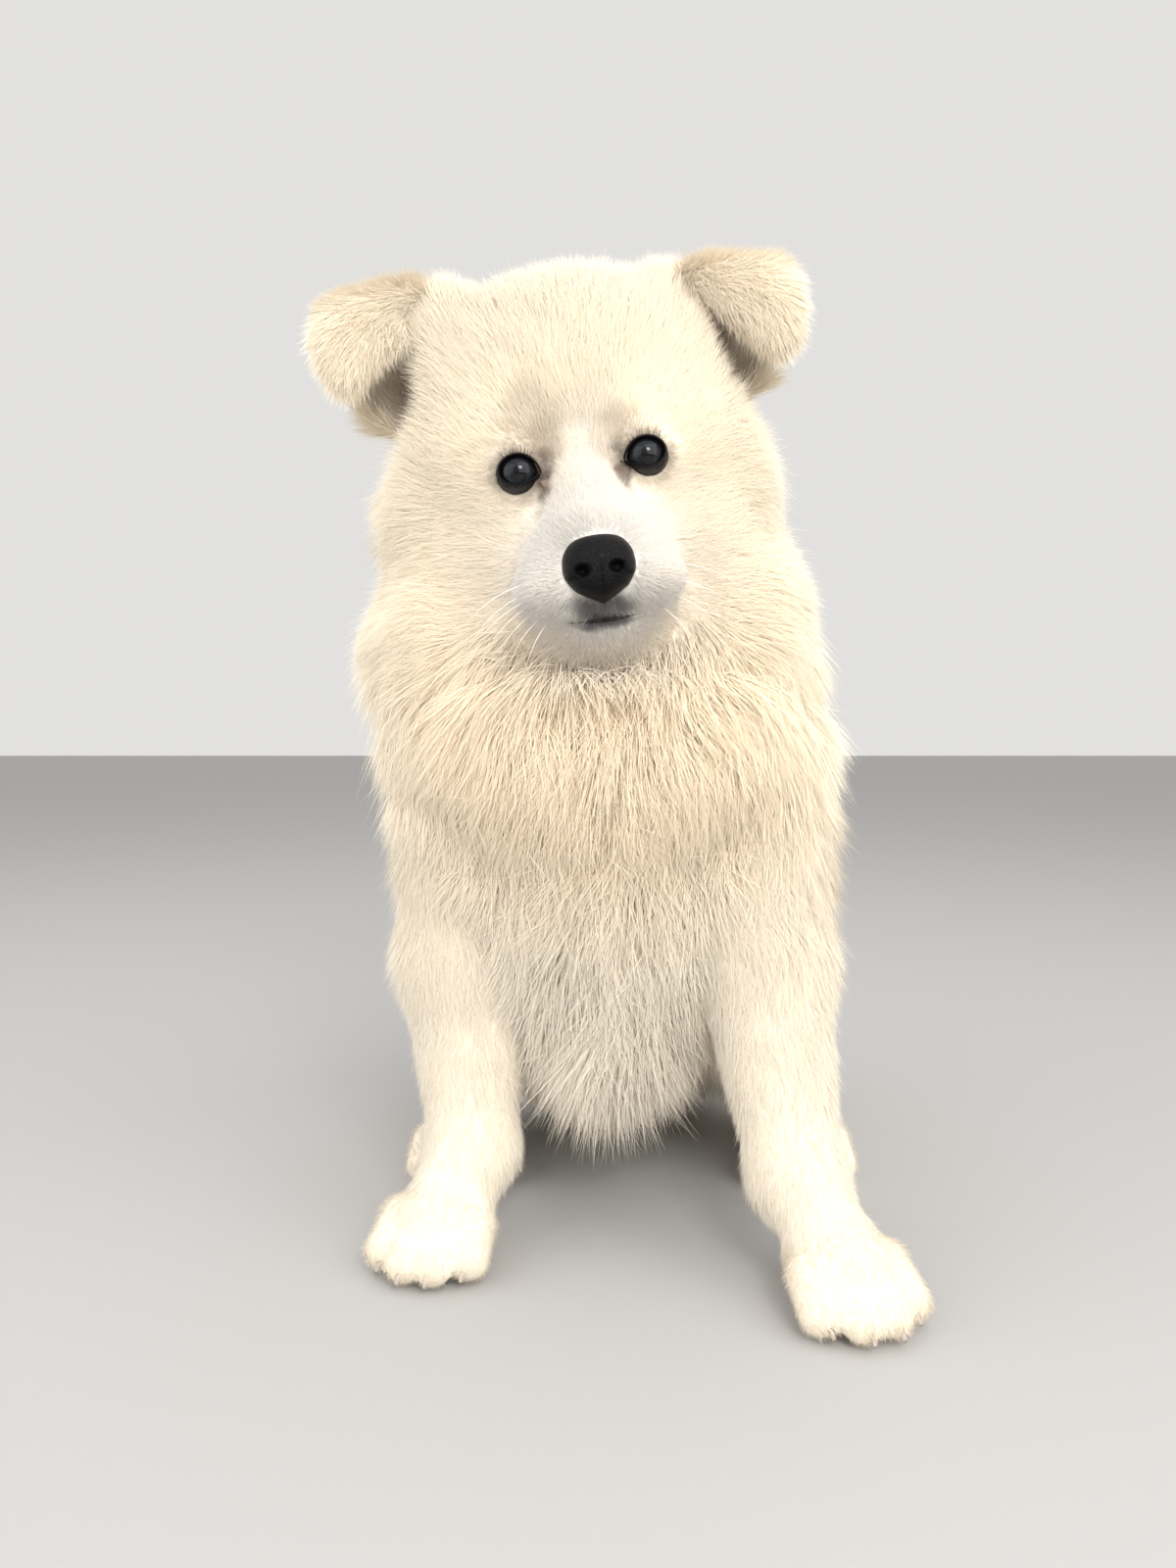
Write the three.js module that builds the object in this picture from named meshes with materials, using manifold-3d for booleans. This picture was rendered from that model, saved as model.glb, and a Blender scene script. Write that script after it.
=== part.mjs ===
// A life-size still model of a seated Samoyed puppy about ten weeks old.
// It sits on its haunches with its forelegs braced apart, and tilts its head at whoever is in front.
// Millimetres, +Z up. The puppy faces -Y and its own left side is +X.
// The origin is on the floor, under the middle of the model's bounding box.

import * as THREE from 'three';
import { mergeVertices } from 'three/addons/utils/BufferGeometryUtils.js';
import Module from 'manifold-3d';

const wasm = await Module();
wasm.setup();

// Driving dimensions

const EYE_LEVEL = 312; // height of the point between the eyes
const EYE_SPREAD = 48; // between the centres of the pupils
const EYEBALL_RADIUS = 9;
const HEAD_SIDE_SHIFT = -17; // the head leans over the right foreleg
const HEAD_TILT = THREE.MathUtils.degToRad(-8); // the left ear is held higher
const NOSE_WIDTH = 26;
const NOSE_DROP = 42; // from the eye line down to the middle of the nose
const NOSE_REACH = 82; // from the middle of the skull forward to the nose leather
const HAUNCH_HALF_WIDTH = 72;
const FORELEG_RADIUS = 26;
const PAW_HALF_WIDTH = 25;
const GAP = 0.3; // left between nodes that touch

const LEFT = 1;
const RIGHT = -1;
const SIDES = { left: LEFT, right: RIGHT };

const at = (x, y, z) => new THREE.Vector3(x, y, z);

// Seeded numbers between 0 and 1, so that every run grows the same coat.
function dice(seed) {
  let state = seed;
  return () => {
    state = (state * 1664525 + 1013904223) % 4294967296;
    return state / 4294967296;
  };
}

// Flesh is a field: the distance of a point from a mass, negative inside it.

function egg(centre, radii, pitch = 0) {
  const cos = Math.cos(pitch);
  const sin = Math.sin(pitch);
  return (p) => {
    const x = p.x - centre.x;
    const dy = p.y - centre.y;
    const dz = p.z - centre.z;
    const y = dy * cos + dz * sin;
    const z = dz * cos - dy * sin;
    const near = Math.hypot(x / radii.x, y / radii.y, z / radii.z);
    const steep = Math.hypot(x / radii.x ** 2, y / radii.y ** 2, z / radii.z ** 2);
    return steep < 1e-9 ? -Math.min(radii.x, radii.y, radii.z) : (near * (near - 1)) / steep;
  };
}

function taper(from, to, radiusFrom, radiusTo) {
  const along = to.clone().sub(from);
  const lengthSquared = along.lengthSq();
  const q = new THREE.Vector3();
  return (p) => {
    const t = THREE.MathUtils.clamp(q.copy(p).sub(from).dot(along) / lengthSquared, 0, 1);
    return q.copy(along).multiplyScalar(t).add(from).distanceTo(p) - THREE.MathUtils.lerp(radiusFrom, radiusTo, t);
  };
}

// Masses run into one another over a width of soft millimetres.
function flesh(soft, ...masses) {
  return (p) => {
    let d = masses[0](p);
    for (let i = 1; i < masses.length; i += 1) {
      const e = masses[i](p);
      const h = Math.max(soft - Math.abs(d - e), 0) / soft;
      d = Math.min(d, e) - (h * h * soft) / 4;
    }
    return d;
  };
}

// Flesh with a hollow pressed into it.
const pressed = (soft, field, hollow) => {
  const kept = flesh(soft, (p) => -field(p), hollow);
  return (p) => -kept(p);
};

function slope(field, p) {
  const e = 0.5;
  const q = p.clone();
  const g = new THREE.Vector3();
  for (const axis of ['x', 'y', 'z']) {
    q.copy(p);
    q[axis] += e;
    const ahead = field(q);
    q[axis] -= 2 * e;
    g[axis] = ahead - field(q);
  }
  return g.normalize();
}

// Moves a point along the slope until it lies at the given height over the field's surface.
function settle(field, p, height = 0) {
  const q = p.clone();
  for (let i = 0; i < 3; i += 1) {
    q.addScaledVector(slope(field, q), height - field(q));
  }
  return q;
}

// The same flesh, thinner by the given depth, which may change from place to place.
const under = (field, depth) => (p) => field(p) + (typeof depth === 'function' ? depth(p) : depth);

// The unit frame square to a route at one of its points: forward, then two directions across it.
function frameAt(route, t, reference) {
  const forward = route.getTangent(t);
  const across = reference.clone().addScaledVector(forward, -reference.dot(forward)).normalize();
  return { place: route.getPoint(t), forward, across, up: new THREE.Vector3().crossVectors(across, forward) };
}

// Walks from a point inside the flesh straight out to its surface.
function surfaceFrom(field, inside, direction) {
  const p = inside.clone();
  for (let step = 0; step < 70; step += 1) {
    const d = field(p);
    if (d > -0.02) break;
    p.addScaledVector(direction, Math.max(-d * 0.85, 0.05));
  }
  return p;
}

// Stretches a ball along a route and moves each of its points straight out to the surface of the flesh.
// The route's own spacing sets how finely each stretch is covered; start and end count the rings of its round ends.
function moulded(field, route, { sides, stations, start = 3, end = 3, reference = at(1, 0, 0) }) {
  const rings = start + stations + end;
  const ball = new THREE.SphereGeometry(1, sides, rings);
  const places = ball.attributes.position;
  for (let i = 0; i < places.count; i += 1) {
    const ring = Math.floor(i / (sides + 1));
    const turn = ((i % (sides + 1)) % sides) * ((2 * Math.PI) / sides);
    const fromStart = Math.min(ring / start, 1) * (Math.PI / 2);
    const fromEnd = Math.min((rings - ring) / end, 1) * (Math.PI / 2);
    const lean = Math.cos(fromEnd) - Math.cos(fromStart);
    const spread = ring % rings === 0 ? 0 : Math.sqrt(1 - lean * lean);
    const t = THREE.MathUtils.clamp((ring - start) / stations, 0, 1);
    const { place, forward, across, up } = frameAt(route, t, reference);
    const direction = forward.multiplyScalar(lean)
      .addScaledVector(across, spread * Math.cos(turn))
      .addScaledVector(up, spread * Math.sin(turn));
    const p = surfaceFrom(field, place, direction);
    places.setXYZ(i, p.x, p.y, p.z);
  }
  return geometryOf(solidOf(ball));
}

const along = (...points) => new THREE.CatmullRomCurve3(points);

// Flattens a ball into a leaf that follows a route: pole to pole along it, with a width, a thickness
// and a hollow at each station.
function leaf(stations, thickness, sides = 12, rings = 14) {
  const route = along(...stations.map((s) => s.place));
  const ball = new THREE.SphereGeometry(1, sides, rings);
  const places = ball.attributes.position;
  for (let i = 0; i < places.count; i += 1) {
    const ring = Math.floor(i / (sides + 1));
    const turn = ((i % (sides + 1)) % sides) * ((2 * Math.PI) / sides);
    const t = ring / rings;
    const low = Math.min(Math.floor(t * (stations.length - 1)), stations.length - 2);
    const share = t * (stations.length - 1) - low;
    const [from, to] = [stations[low], stations[low + 1]];
    const rounding = ring % rings === 0 ? 0 : Math.sqrt(1 - (2 * t - 1) ** 6);
    const { place, forward } = frameAt(route, t, at(1, 0, 0));
    const across = from.across.clone().lerp(to.across, share);
    across.addScaledVector(forward, -across.dot(forward)).normalize();
    const out = new THREE.Vector3().crossVectors(across, forward);
    const u = Math.cos(turn);
    const hollow = THREE.MathUtils.lerp(from.hollow, to.hollow, share) * (u * u - 0.5);
    place
      .addScaledVector(across, u * rounding * THREE.MathUtils.lerp(from.halfWidth, to.halfWidth, share))
      .addScaledVector(out, rounding * (hollow + (Math.sin(turn) * thickness) / 2));
    places.setXYZ(i, place.x, place.y, place.z);
  }
  return geometryOf(solidOf(ball));
}

// A flat lock of long coat with a low ridge. Its root is sunk in the core, it bends along the lie of the coat,
// and its tip reaches the outline that the field describes.
const LOCK_STATIONS = 3;
const LOCK_FLATNESS = 0.3;

function lock(outline, root, lie, { length, width, depth, sunk = 6 }) {
  const spine = [];
  const p = root.clone();
  for (let i = 0; i <= LOCK_STATIONS; i += 1) {
    const t = i / LOCK_STATIONS;
    const here = settle(outline, p, -(depth + sunk) * (1 - t) ** 1.35);
    const out = slope(outline, here);
    const along = lie(here).addScaledVector(out, -lie(here).dot(out)).normalize();
    spine.push({ here, out, across: new THREE.Vector3().crossVectors(along, out) });
    p.copy(here).addScaledVector(along, length / LOCK_STATIONS);
  }
  const cone = new THREE.ConeGeometry(1, 1, 3, LOCK_STATIONS);
  const places = cone.attributes.position;
  for (let i = 0; i < places.count; i += 1) {
    const t = places.getY(i) + 0.5;
    const { here, out, across } = spine[Math.round(t * LOCK_STATIONS)];
    const radius = Math.hypot(places.getX(i), places.getZ(i)) || 1;
    const upwards = Math.round((100 * places.getZ(i)) / radius) / 100;
    const sideways = Math.sign(Math.round(places.getX(i) / radius));
    const halfWidth = (width / 2) * (0.7 + 1.1 * t) * (1 - t ** 2.2);
    const place = here.clone()
      .addScaledVector(across, sideways * halfWidth)
      .addScaledVector(out, upwards * halfWidth * LOCK_FLATNESS);
    places.setXYZ(i, place.x, place.y, place.z);
  }
  return cone;
}

// Rows of locks round a route. Each row is [share of the route, first angle, last angle, count]; every lock is
// shifted, turned and sized a little by the dice, and roots that the skip test names are left out.
function rowsOfLocks(outline, route, rows, lie, size, { seed, reference = at(1, 0, 0), skip = () => false }) {
  const roll = dice(seed);
  const locks = [];
  for (const [share, first, last, count] of rows) {
    for (let i = 0; i < count; i += 1) {
      const angle = THREE.MathUtils.degToRad(first + ((last - first) * (i + 0.25 + 0.5 * roll())) / count);
      const t = THREE.MathUtils.clamp(share + 0.02 * (roll() - 0.5), 0, 1);
      const { place, across, up } = frameAt(route, t, reference);
      const outward = across.multiplyScalar(Math.cos(angle)).addScaledVector(up, Math.sin(angle));
      const root = surfaceFrom(under(outline, size.depth), place, outward);
      const [long, wide] = [0.85 + 0.3 * roll(), 0.85 + 0.3 * roll()];
      if (!skip(root)) {
        locks.push(lock(outline, root, lie, { ...size, length: size.length * long, width: size.width * wide }));
      }
    }
  }
  return locks;
}

// Solids: a closed geometry becomes one that can be joined and cut, and back again.

// A shape fresh from its class has its shared vertices merged; one that was a solid before has them so already.
function bare(geometry) {
  const made = geometry.clone();
  if (!made.attributes.uv) return made;
  made.deleteAttribute('normal');
  made.deleteAttribute('uv');
  return mergeVertices(made, 1e-4);
}

function solidOf(geometry) {
  const merged = bare(geometry);
  const made = new wasm.Manifold(new wasm.Mesh({
    numProp: 3,
    vertProperties: merged.attributes.position.array,
    triVerts: new Uint32Array(merged.index.array),
  }));
  if (made.volume() > 0) return made;
  const flipped = new Uint32Array(merged.index.array);
  for (let i = 0; i < flipped.length; i += 3) {
    [flipped[i + 1], flipped[i + 2]] = [flipped[i + 2], flipped[i + 1]];
  }
  return new wasm.Manifold(new wasm.Mesh({
    numProp: 3,
    vertProperties: merged.attributes.position.array,
    triVerts: flipped,
  }));
}

function geometryOf(solid) {
  const mesh = solid.getMesh();
  const made = new THREE.BufferGeometry();
  const places = new Float32Array(mesh.numVert * 3);
  for (let i = 0; i < mesh.numVert; i += 1) {
    places.set(mesh.vertProperties.subarray(i * mesh.numProp, i * mesh.numProp + 3), i * 3);
  }
  made.setAttribute('position', new THREE.BufferAttribute(places, 3));
  made.setIndex(new THREE.BufferAttribute(mesh.triVerts, 1));
  return made;
}

// Moves every face out by the gap, so that what is cut with the result keeps clear by that much.
// Each vertex goes where the shifted planes of the faces round it come closest to meeting.
function grown(geometry, by = GAP) {
  const merged = bare(geometry);
  const places = merged.attributes.position;
  const corners = merged.index.array;
  const corner = [new THREE.Vector3(), new THREE.Vector3(), new THREE.Vector3()];
  const normal = new THREE.Vector3();
  const planes = Array.from({ length: places.count }, () => ({ matrix: new Float64Array(9), sum: new THREE.Vector3() }));
  for (let f = 0; f < corners.length; f += 3) {
    corner.forEach((c, i) => c.fromBufferAttribute(places, corners[f + i]));
    new THREE.Triangle(...corner).getNormal(normal);
    const n = normal.toArray();
    for (const vertex of [corners[f], corners[f + 1], corners[f + 2]]) {
      planes[vertex].sum.add(normal);
      n.forEach((a, i) => n.forEach((b, j) => (planes[vertex].matrix[3 * i + j] += a * b)));
    }
  }
  const shift = new THREE.Vector3();
  planes.forEach(({ matrix, sum }, i) => {
    for (const diagonal of [0, 4, 8]) matrix[diagonal] += 0.01;
    shift.copy(sum).multiplyScalar(by).applyMatrix3(new THREE.Matrix3(...matrix).invert()).clampLength(0, 3 * by);
    places.setXYZ(i, places.getX(i) + shift.x, places.getY(i) + shift.y, places.getZ(i) + shift.z);
  });
  return merged;
}

const joined = (geometries) => geometries.map(solidOf).reduce((a, b) => a.add(b));

// Cuts each neighbour out with its gap, and keeps the largest closed body that is left.
function cutClear(geometry, neighbours, by = GAP) {
  let solid = solidOf(geometry);
  for (const neighbour of neighbours) {
    solid = solid.subtract(solidOf(grown(neighbour, by)));
  }
  return geometryOf(largest(solid));
}

// Fuses a core with its locks, clear of the parts of every node that it meets, into one closed body.
function fused(parts, neighbours = [], blocks = []) {
  let solid = joined(parts);
  for (const neighbour of neighbours) {
    solid = solid.subtract(joined(neighbour.parts.map((part) => grown(part))));
  }
  for (const block of blocks) {
    solid = solid.subtract(solidOf(block));
  }
  return { parts, geometry: geometryOf(largest(solid)) };
}

function largest(solid) {
  return solid.decompose().reduce((a, b) => (a.volume() > b.volume() ? a : b));
}

// A block that covers all that lies on one side of a plane.
function halfSpace(pointOnPlane, outward, size = 900) {
  const block = new THREE.BoxGeometry(size, size, size);
  block.translate(0, 0, size / 2);
  const turn = new THREE.Quaternion().setFromUnitVectors(at(0, 0, 1), outward.clone().normalize());
  block.applyQuaternion(turn);
  block.translate(pointOnPlane.x, pointOnPlane.y, pointOnPlane.z);
  return block;
}

function cutAway(geometry, ...blocks) {
  return geometryOf(largest(blocks.reduce((solid, block) => solid.subtract(solidOf(block)), solidOf(geometry))));
}

const floorBlock = halfSpace(at(0, 0, 0), at(0, 0, -1));

// The head, drawn round the point between the eyes and then set in its place.

const headPlace = new THREE.Group();
headPlace.name = 'head_place';
headPlace.position.set(HEAD_SIDE_SHIFT, 0, EYE_LEVEL);
headPlace.rotation.y = HEAD_TILT;
headPlace.updateMatrixWorld(true);

const EYE = at(EYE_SPREAD / 2, -43, 1.5);
const NOSE = at(0, -NOSE_REACH, -NOSE_DROP);

const pair = (make) => [make(LEFT), make(RIGHT)];

// The cup of each ear, between the head and the fold of the flap
const EAR_CUP = { centre: at(72, -20, 47), radii: at(17, 26, 20) };
const cups = flesh(2, ...pair((s) => egg(at(s * EAR_CUP.centre.x, EAR_CUP.centre.y, EAR_CUP.centre.z), EAR_CUP.radii)));

// Skull, corners of the crown, cheeks and jowls, then the brows and the muzzle. The tilt presses the coat of
// the left side in, so the right side is a little fuller.
const headField = pressed(8, flesh(
  12,
  egg(at(0, 12, 26), at(76, 66, 67)),
  egg(at(45, 1, 53), at(27, 30, 35)),
  egg(at(-47, -3, 56), at(29, 30, 35)),
  egg(at(46, 16, 2), at(42, 46, 52)),
  egg(at(-49, 16, 2), at(43, 46, 52)),
  egg(at(46, 20, -46), at(44, 48, 48)),
  egg(at(-51, 20, -46), at(46, 48, 48)),
  egg(at(0, -6, -22), at(60, 45, 46)),
  taper(at(0, 30, 14), at(0, 58, -62), 50, 54),
  ...pair((s) => egg(at(s * 25, -22, 9), at(27, 27, 26))),
  egg(at(0, -48, -37), at(29, 36, 24)),
  taper(at(0, -38, -2), at(0, -74, -29), 15, 12),
  ...pair((s) => egg(at(s * 13, -60, -47), at(17, 25, 12))),
), cups);

// The coat is short on face and crown, and grows long over the cheeks and the back of the head.
const CHEEK_COAT = 8;
const cheekDepth = (p) => CHEEK_COAT
  * THREE.MathUtils.smoothstep(p.y, -26, 2)
  * (1 - THREE.MathUtils.smoothstep(p.z, 20, 55));

const jawField = flesh(5, egg(at(0, -52, -56), at(19, 26, 10)), taper(at(0, -62, -56), at(0, -20, -53), 10, 13));

function headInPlace(geometry) {
  return geometry.clone().applyMatrix4(headPlace.matrixWorld);
}

function eyeball(side) {
  const ball = new THREE.SphereGeometry(EYEBALL_RADIUS, 12, 8);
  ball.rotateX(Math.PI / 2);
  const cornea = new THREE.SphereGeometry(6.6, 8, 5);
  cornea.rotateX(Math.PI / 2);
  cornea.translate(0, -3.2, 0);
  const eye = geometryOf(joined([ball, cornea]));
  return eye.translate(side * EYE.x, EYE.y, EYE.z);
}

// Both lids of one eye and the lining of its socket: a cup round the eyeball, open in an almond at the front.
const LID_THICKNESS = 2;
const LID_OPENING = { halfWidth: 7.6, halfHeight: 6.2 };

function socket(side) {
  const ball = new THREE.SphereGeometry(EYEBALL_RADIUS + LID_THICKNESS, 12, 8);
  ball.rotateX(Math.PI / 2);
  return ball.translate(side * EYE.x, EYE.y, EYE.z);
}

function eyelids(side, eye) {
  const almond = new THREE.Shape();
  almond.moveTo(-LID_OPENING.halfWidth, -1);
  almond.quadraticCurveTo(0, 1.9 * LID_OPENING.halfHeight, LID_OPENING.halfWidth, -1);
  almond.quadraticCurveTo(0, -1.9 * LID_OPENING.halfHeight, -LID_OPENING.halfWidth, -1);
  const opening = new THREE.ExtrudeGeometry(almond, { depth: 30, bevelEnabled: false, curveSegments: 4 });
  opening.rotateX(Math.PI / 2);
  opening.translate(side * EYE.x, EYE.y, EYE.z);
  return cutClear(cutAway(socket(side), opening), [eye]);
}

// The nose leather: broad above, narrow at the lip, with a nostril on each side.
function noseLeather() {
  const leather = new THREE.SphereGeometry(1, 14, 8);
  leather.rotateX(Math.PI / 2);
  const places = leather.attributes.position;
  for (let i = 0; i < places.count; i += 1) {
    const [x, y, z] = [places.getX(i), places.getY(i), places.getZ(i)];
    const narrow = THREE.MathUtils.mapLinear(z, -1, 1, 0.55, 1.25);
    places.setXYZ(i, (x * narrow * NOSE_WIDTH) / 2, y * 11 + z * 1.5, z * 11.5);
  }
  leather.translate(NOSE.x, NOSE.y, NOSE.z);
  const nostrils = pair((s) => {
    const hole = new THREE.SphereGeometry(1, 6, 4);
    hole.scale(2.7, 7, 2.4);
    return hole.translate(s * 6.3, NOSE.y - 9, NOSE.z - 1.5);
  });
  const groove = new THREE.BoxGeometry(0.9, 3, 12);
  groove.translate(0, NOSE.y - 11, NOSE.z - 7);
  return cutAway(leather, ...nostrils, groove);
}

// An ear: its leather rises from the skull as a hollow sheet, then folds over forward and hangs outwards.
// The stations are those of the right ear; the left one is let down by its share of the drop.
const EAR_THICKNESS = 16;
const LEFT_EAR_DROP = at(-2, 0, -8);
const EAR_STATIONS = [
  { place: at(60, 16, 26), drop: 0.2, halfWidth: 17, hollow: 8, across: at(0.8, -0.6, -0.1) },
  { place: at(66, 12, 44), drop: 0.5, halfWidth: 21, hollow: 9, across: at(0.88, -0.45, -0.1) },
  { place: at(68, 5, 62), drop: 0.9, halfWidth: 23, hollow: 8, across: at(0.93, -0.33, -0.12) },
  { place: at(69, -5, 76), drop: 1, halfWidth: 23, hollow: 4, across: at(0.97, -0.2, -0.12) },
  { place: at(71, -17, 78), drop: 1, halfWidth: 22, hollow: 3, across: at(0.97, -0.1, -0.15) },
  { place: at(77, -25, 69), drop: 1, halfWidth: 18, hollow: 3, across: at(0.97, 0, -0.1) },
  { place: at(82, -28, 57), drop: 1, halfWidth: 13, hollow: 2, across: at(0.97, 0.05, 0) },
  { place: at(85, -27, 47), drop: 1, halfWidth: 9, hollow: 1, across: at(0.97, 0.1, 0.05) },
];

function ear(side) {
  const stations = EAR_STATIONS.map((s) => (
    side === LEFT ? { ...s, place: s.place.clone().addScaledVector(LEFT_EAR_DROP, s.drop) } : s
  ));
  const made = leaf(stations, EAR_THICKNESS);
  if (side === RIGHT) made.scale(-1, 1, 1);
  return geometryOf(solidOf(made));
}

// The outline of trunk, legs and tail, out to the tips of the coat

const trunkField = flesh(
  26,
  taper(at(HEAD_SIDE_SHIFT + 1, 36, 290), at(-10, 40, 246), 74, 76),
  egg(at(-13, 36, 248), at(98, 77, 46)),
  egg(at(-12, 2, 214), at(66, 52, 46)),
  egg(at(-8, 40, 214), at(105, 86, 50)),
  egg(at(-8, 46, 160), at(96, 66, 66)),
  taper(at(-6, 82, 232), at(-3, 122, 160), 60, 74),
  taper(at(-5, 56, 138), at(-3, 126, 66), 62, 56),
  taper(at(-10, 18, 196), at(-6, 26, 106), 64, 44),
  taper(at(-3, 122, 150), at(0, 162, 66), 76, 70),
  egg(at(0, 172, 54), at(HAUNCH_HALF_WIDTH, 64, 58)),
);

const LEGS = {
  left: {
    shoulder: at(54, 20, 180),
    elbow: at(58, 4, 116),
    wrist: at(66, -38, 42),
    paw: at(80, -67, 17),
    knee: at(70, 78, 78),
    hip: at(56, 150, 78),
    hock: at(80, 142, 20),
    hindPaw: at(86, 66, 16),
    splay: 0.3,
  },
  right: {
    shoulder: at(-62, 24, 178),
    elbow: at(-67, 18, 116),
    wrist: at(-63, -4, 40),
    paw: at(-75, -25, 17),
    knee: at(-64, 78, 78),
    hip: at(-54, 150, 78),
    hock: at(-74, 142, 20),
    hindPaw: at(-75, 66, 16),
    splay: -0.25,
  },
};

function forelegField(leg) {
  return flesh(
    12,
    taper(leg.shoulder, leg.elbow, FORELEG_RADIUS + 10, FORELEG_RADIUS + 6),
    taper(leg.elbow, leg.wrist, FORELEG_RADIUS + 6, FORELEG_RADIUS - 5),
    taper(leg.wrist, leg.paw, FORELEG_RADIUS - 5, FORELEG_RADIUS - 9),
  );
}

// Four toes side by side, the middle two the longest, in front of the pad.
const TOE_SPACING = 11.5;
const TOE_RADIUS = 10.5;

function pawField(paw, splay, reach) {
  const ahead = at(Math.sin(splay), -Math.cos(splay), 0);
  const across = at(Math.cos(splay), Math.sin(splay), 0);
  const toes = [-1.5, -0.5, 0.5, 1.5].map((lane) => {
    const shorter = Math.abs(lane) > 1 ? 8 : 0;
    const root = paw.clone().addScaledVector(across, lane * TOE_SPACING * 0.8).setZ(17);
    const tip = paw.clone()
      .addScaledVector(across, lane * TOE_SPACING)
      .addScaledVector(ahead, reach - shorter)
      .setZ(TOE_RADIUS - 1);
    return taper(root, tip, TOE_RADIUS + 2, TOE_RADIUS);
  });
  const heel = paw.clone().addScaledVector(ahead, -12).setZ(17);
  return flesh(3, taper(heel, paw, PAW_HALF_WIDTH - 5, PAW_HALF_WIDTH - 6), ...toes);
}

function pawShape(paw, splay, reach) {
  const ahead = at(Math.sin(splay), -Math.cos(splay), 0);
  const route = along(
    paw.clone().addScaledVector(ahead, -14).setZ(14),
    paw.clone().setZ(13),
    paw.clone().addScaledVector(ahead, reach - 4).setZ(10),
  );
  return moulded(pawField(paw, splay, reach), route, { sides: 16, stations: 4 });
}

function thighField(leg) {
  const middle = leg.knee.clone().lerp(leg.hip, 0.5);
  return flesh(14, egg(middle, at(34, 64, 50), -0.15), taper(leg.knee, leg.hock, 24, 18));
}

const TAIL_ROUTE = [
  at(0, 206, 48),
  at(14, 236, 38),
  at(43, 244, 30),
  at(70, 232, 28),
  at(86, 208, 26),
  at(90, 184, 22),
];
const TAIL_RADII = [22, 28, 32, 32, 27, 15];

const tailField = flesh(
  10,
  ...TAIL_ROUTE.slice(1).map((to, i) => taper(TAIL_ROUTE[i], to, TAIL_RADII[i], TAIL_RADII[i + 1])),
);

// Where the head, neck, chest and loin are parted.

const HEAD_CUT = { place: at(0, 0, -62), normal: at(0, 0.12, -0.99) };
const NECK_CUT = { place: at(0, 40, 214), normal: at(0, 0.25, -0.97) };
const LOIN_CUT = { place: at(0, 96, 130), normal: at(0, 0.86, -0.5) };

// The block beyond a cut, moved off by half the gap, on the far side or turned round for the near one.
function beyond(cut, turned = false) {
  const normal = cut.normal.clone().normalize().multiplyScalar(turned ? -1 : 1);
  return halfSpace(cut.place.clone().addScaledVector(normal, -GAP / 2), normal);
}

const coat = new THREE.MeshStandardMaterial({ color: 0xece2cf, roughness: 0.95, metalness: 0 });
const coatLegs = new THREE.MeshStandardMaterial({ color: 0xf1e9dc, roughness: 0.95, metalness: 0 });
const coatEars = new THREE.MeshStandardMaterial({ color: 0xe6d8bf, roughness: 0.95, metalness: 0 });
const leatherBlack = new THREE.MeshStandardMaterial({ color: 0x17181b, roughness: 0.4, metalness: 0 });
const eyeDark = new THREE.MeshStandardMaterial({ color: 0x14100d, roughness: 0.05, metalness: 0 });

const puppy = new THREE.Group();
puppy.name = 'samoyed_puppy';
const body = new THREE.Group();
body.name = 'body';
body.add(headPlace);
puppy.add(body);

function keep(parent, name, geometry, material) {
  const mesh = new THREE.Mesh(geometry, material);
  mesh.name = name;
  parent.add(mesh);
  return mesh;
}

// Head pieces, in the head's own frame.

for (const [name, side] of Object.entries(SIDES)) {
  const eye = eyeball(side);
  keep(headPlace, `eye_${name}`, eye, eyeDark);
  keep(headPlace, `eyelids_${name}`, eyelids(side, eye), leatherBlack);
}
const nose = noseLeather();
keep(headPlace, 'nose', nose, leatherBlack);

const jawRoute = along(at(0, -30, -56), at(0, -48, -58), at(0, -62, -58));
const jaw = cutAway(
  cutClear(moulded(jawField, jawRoute, { sides: 16, stations: 4 }), [nose]),
  halfSpace(at(0, -60, -58.5), at(0, 0.08, 1)),
  halfSpace(at(0, -26, -58), at(0, 1, 0)),
);
const headRoute = along(at(0, 26, 14), at(0, 8, 3), at(0, -10, -8));
const headCore = cutAway(
  moulded(under(headField, cheekDepth), headRoute, { sides: 30, stations: 3, start: 4, end: 11 }),
  beyond(HEAD_CUT),
);
const cheekRoute = along(at(0, 12, 34), at(0, 18, -14), at(0, 26, -56));
const cheekLocks = rowsOfLocks(
  headField,
  cheekRoute,
  [[0.2, -5, 185, 6], [0.58, -30, 210, 6], [0.9, -36, 216, 6]],
  (p) => at(Math.sign(p.x) * 0.25, 0.35, -0.9),
  { length: 56, width: 42, depth: CHEEK_COAT },
  { seed: 12 },
);
const head = fused([headCore, ...cheekLocks], [{ parts: [nose, jaw, ...Object.values(SIDES).map(socket)] }]);
keep(headPlace, 'head', head.geometry, coat);
keep(headPlace, 'lower_jaw', jaw, coat);
for (const [name, side] of Object.entries(SIDES)) {
  keep(headPlace, `ear_${name}`, fused([ear(side)], [head]).geometry, coatEars);
}

// Trunk pieces: one core, parted by thin cuts, each length with its own locks.

const trunkRoute = along(
  at(-15, 34, 300),
  at(-10, 48, 240),
  at(-7, 66, 190),
  at(-4, 102, 140),
  at(-2, 142, 92),
  at(0, 178, 52),
);
const RUFF = { length: 68, width: 54, depth: 15 };
const CHEST_COAT = { length: 64, width: 48, depth: 14 };
const BACK_COAT = { length: 64, width: 50, depth: 13 };

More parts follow.
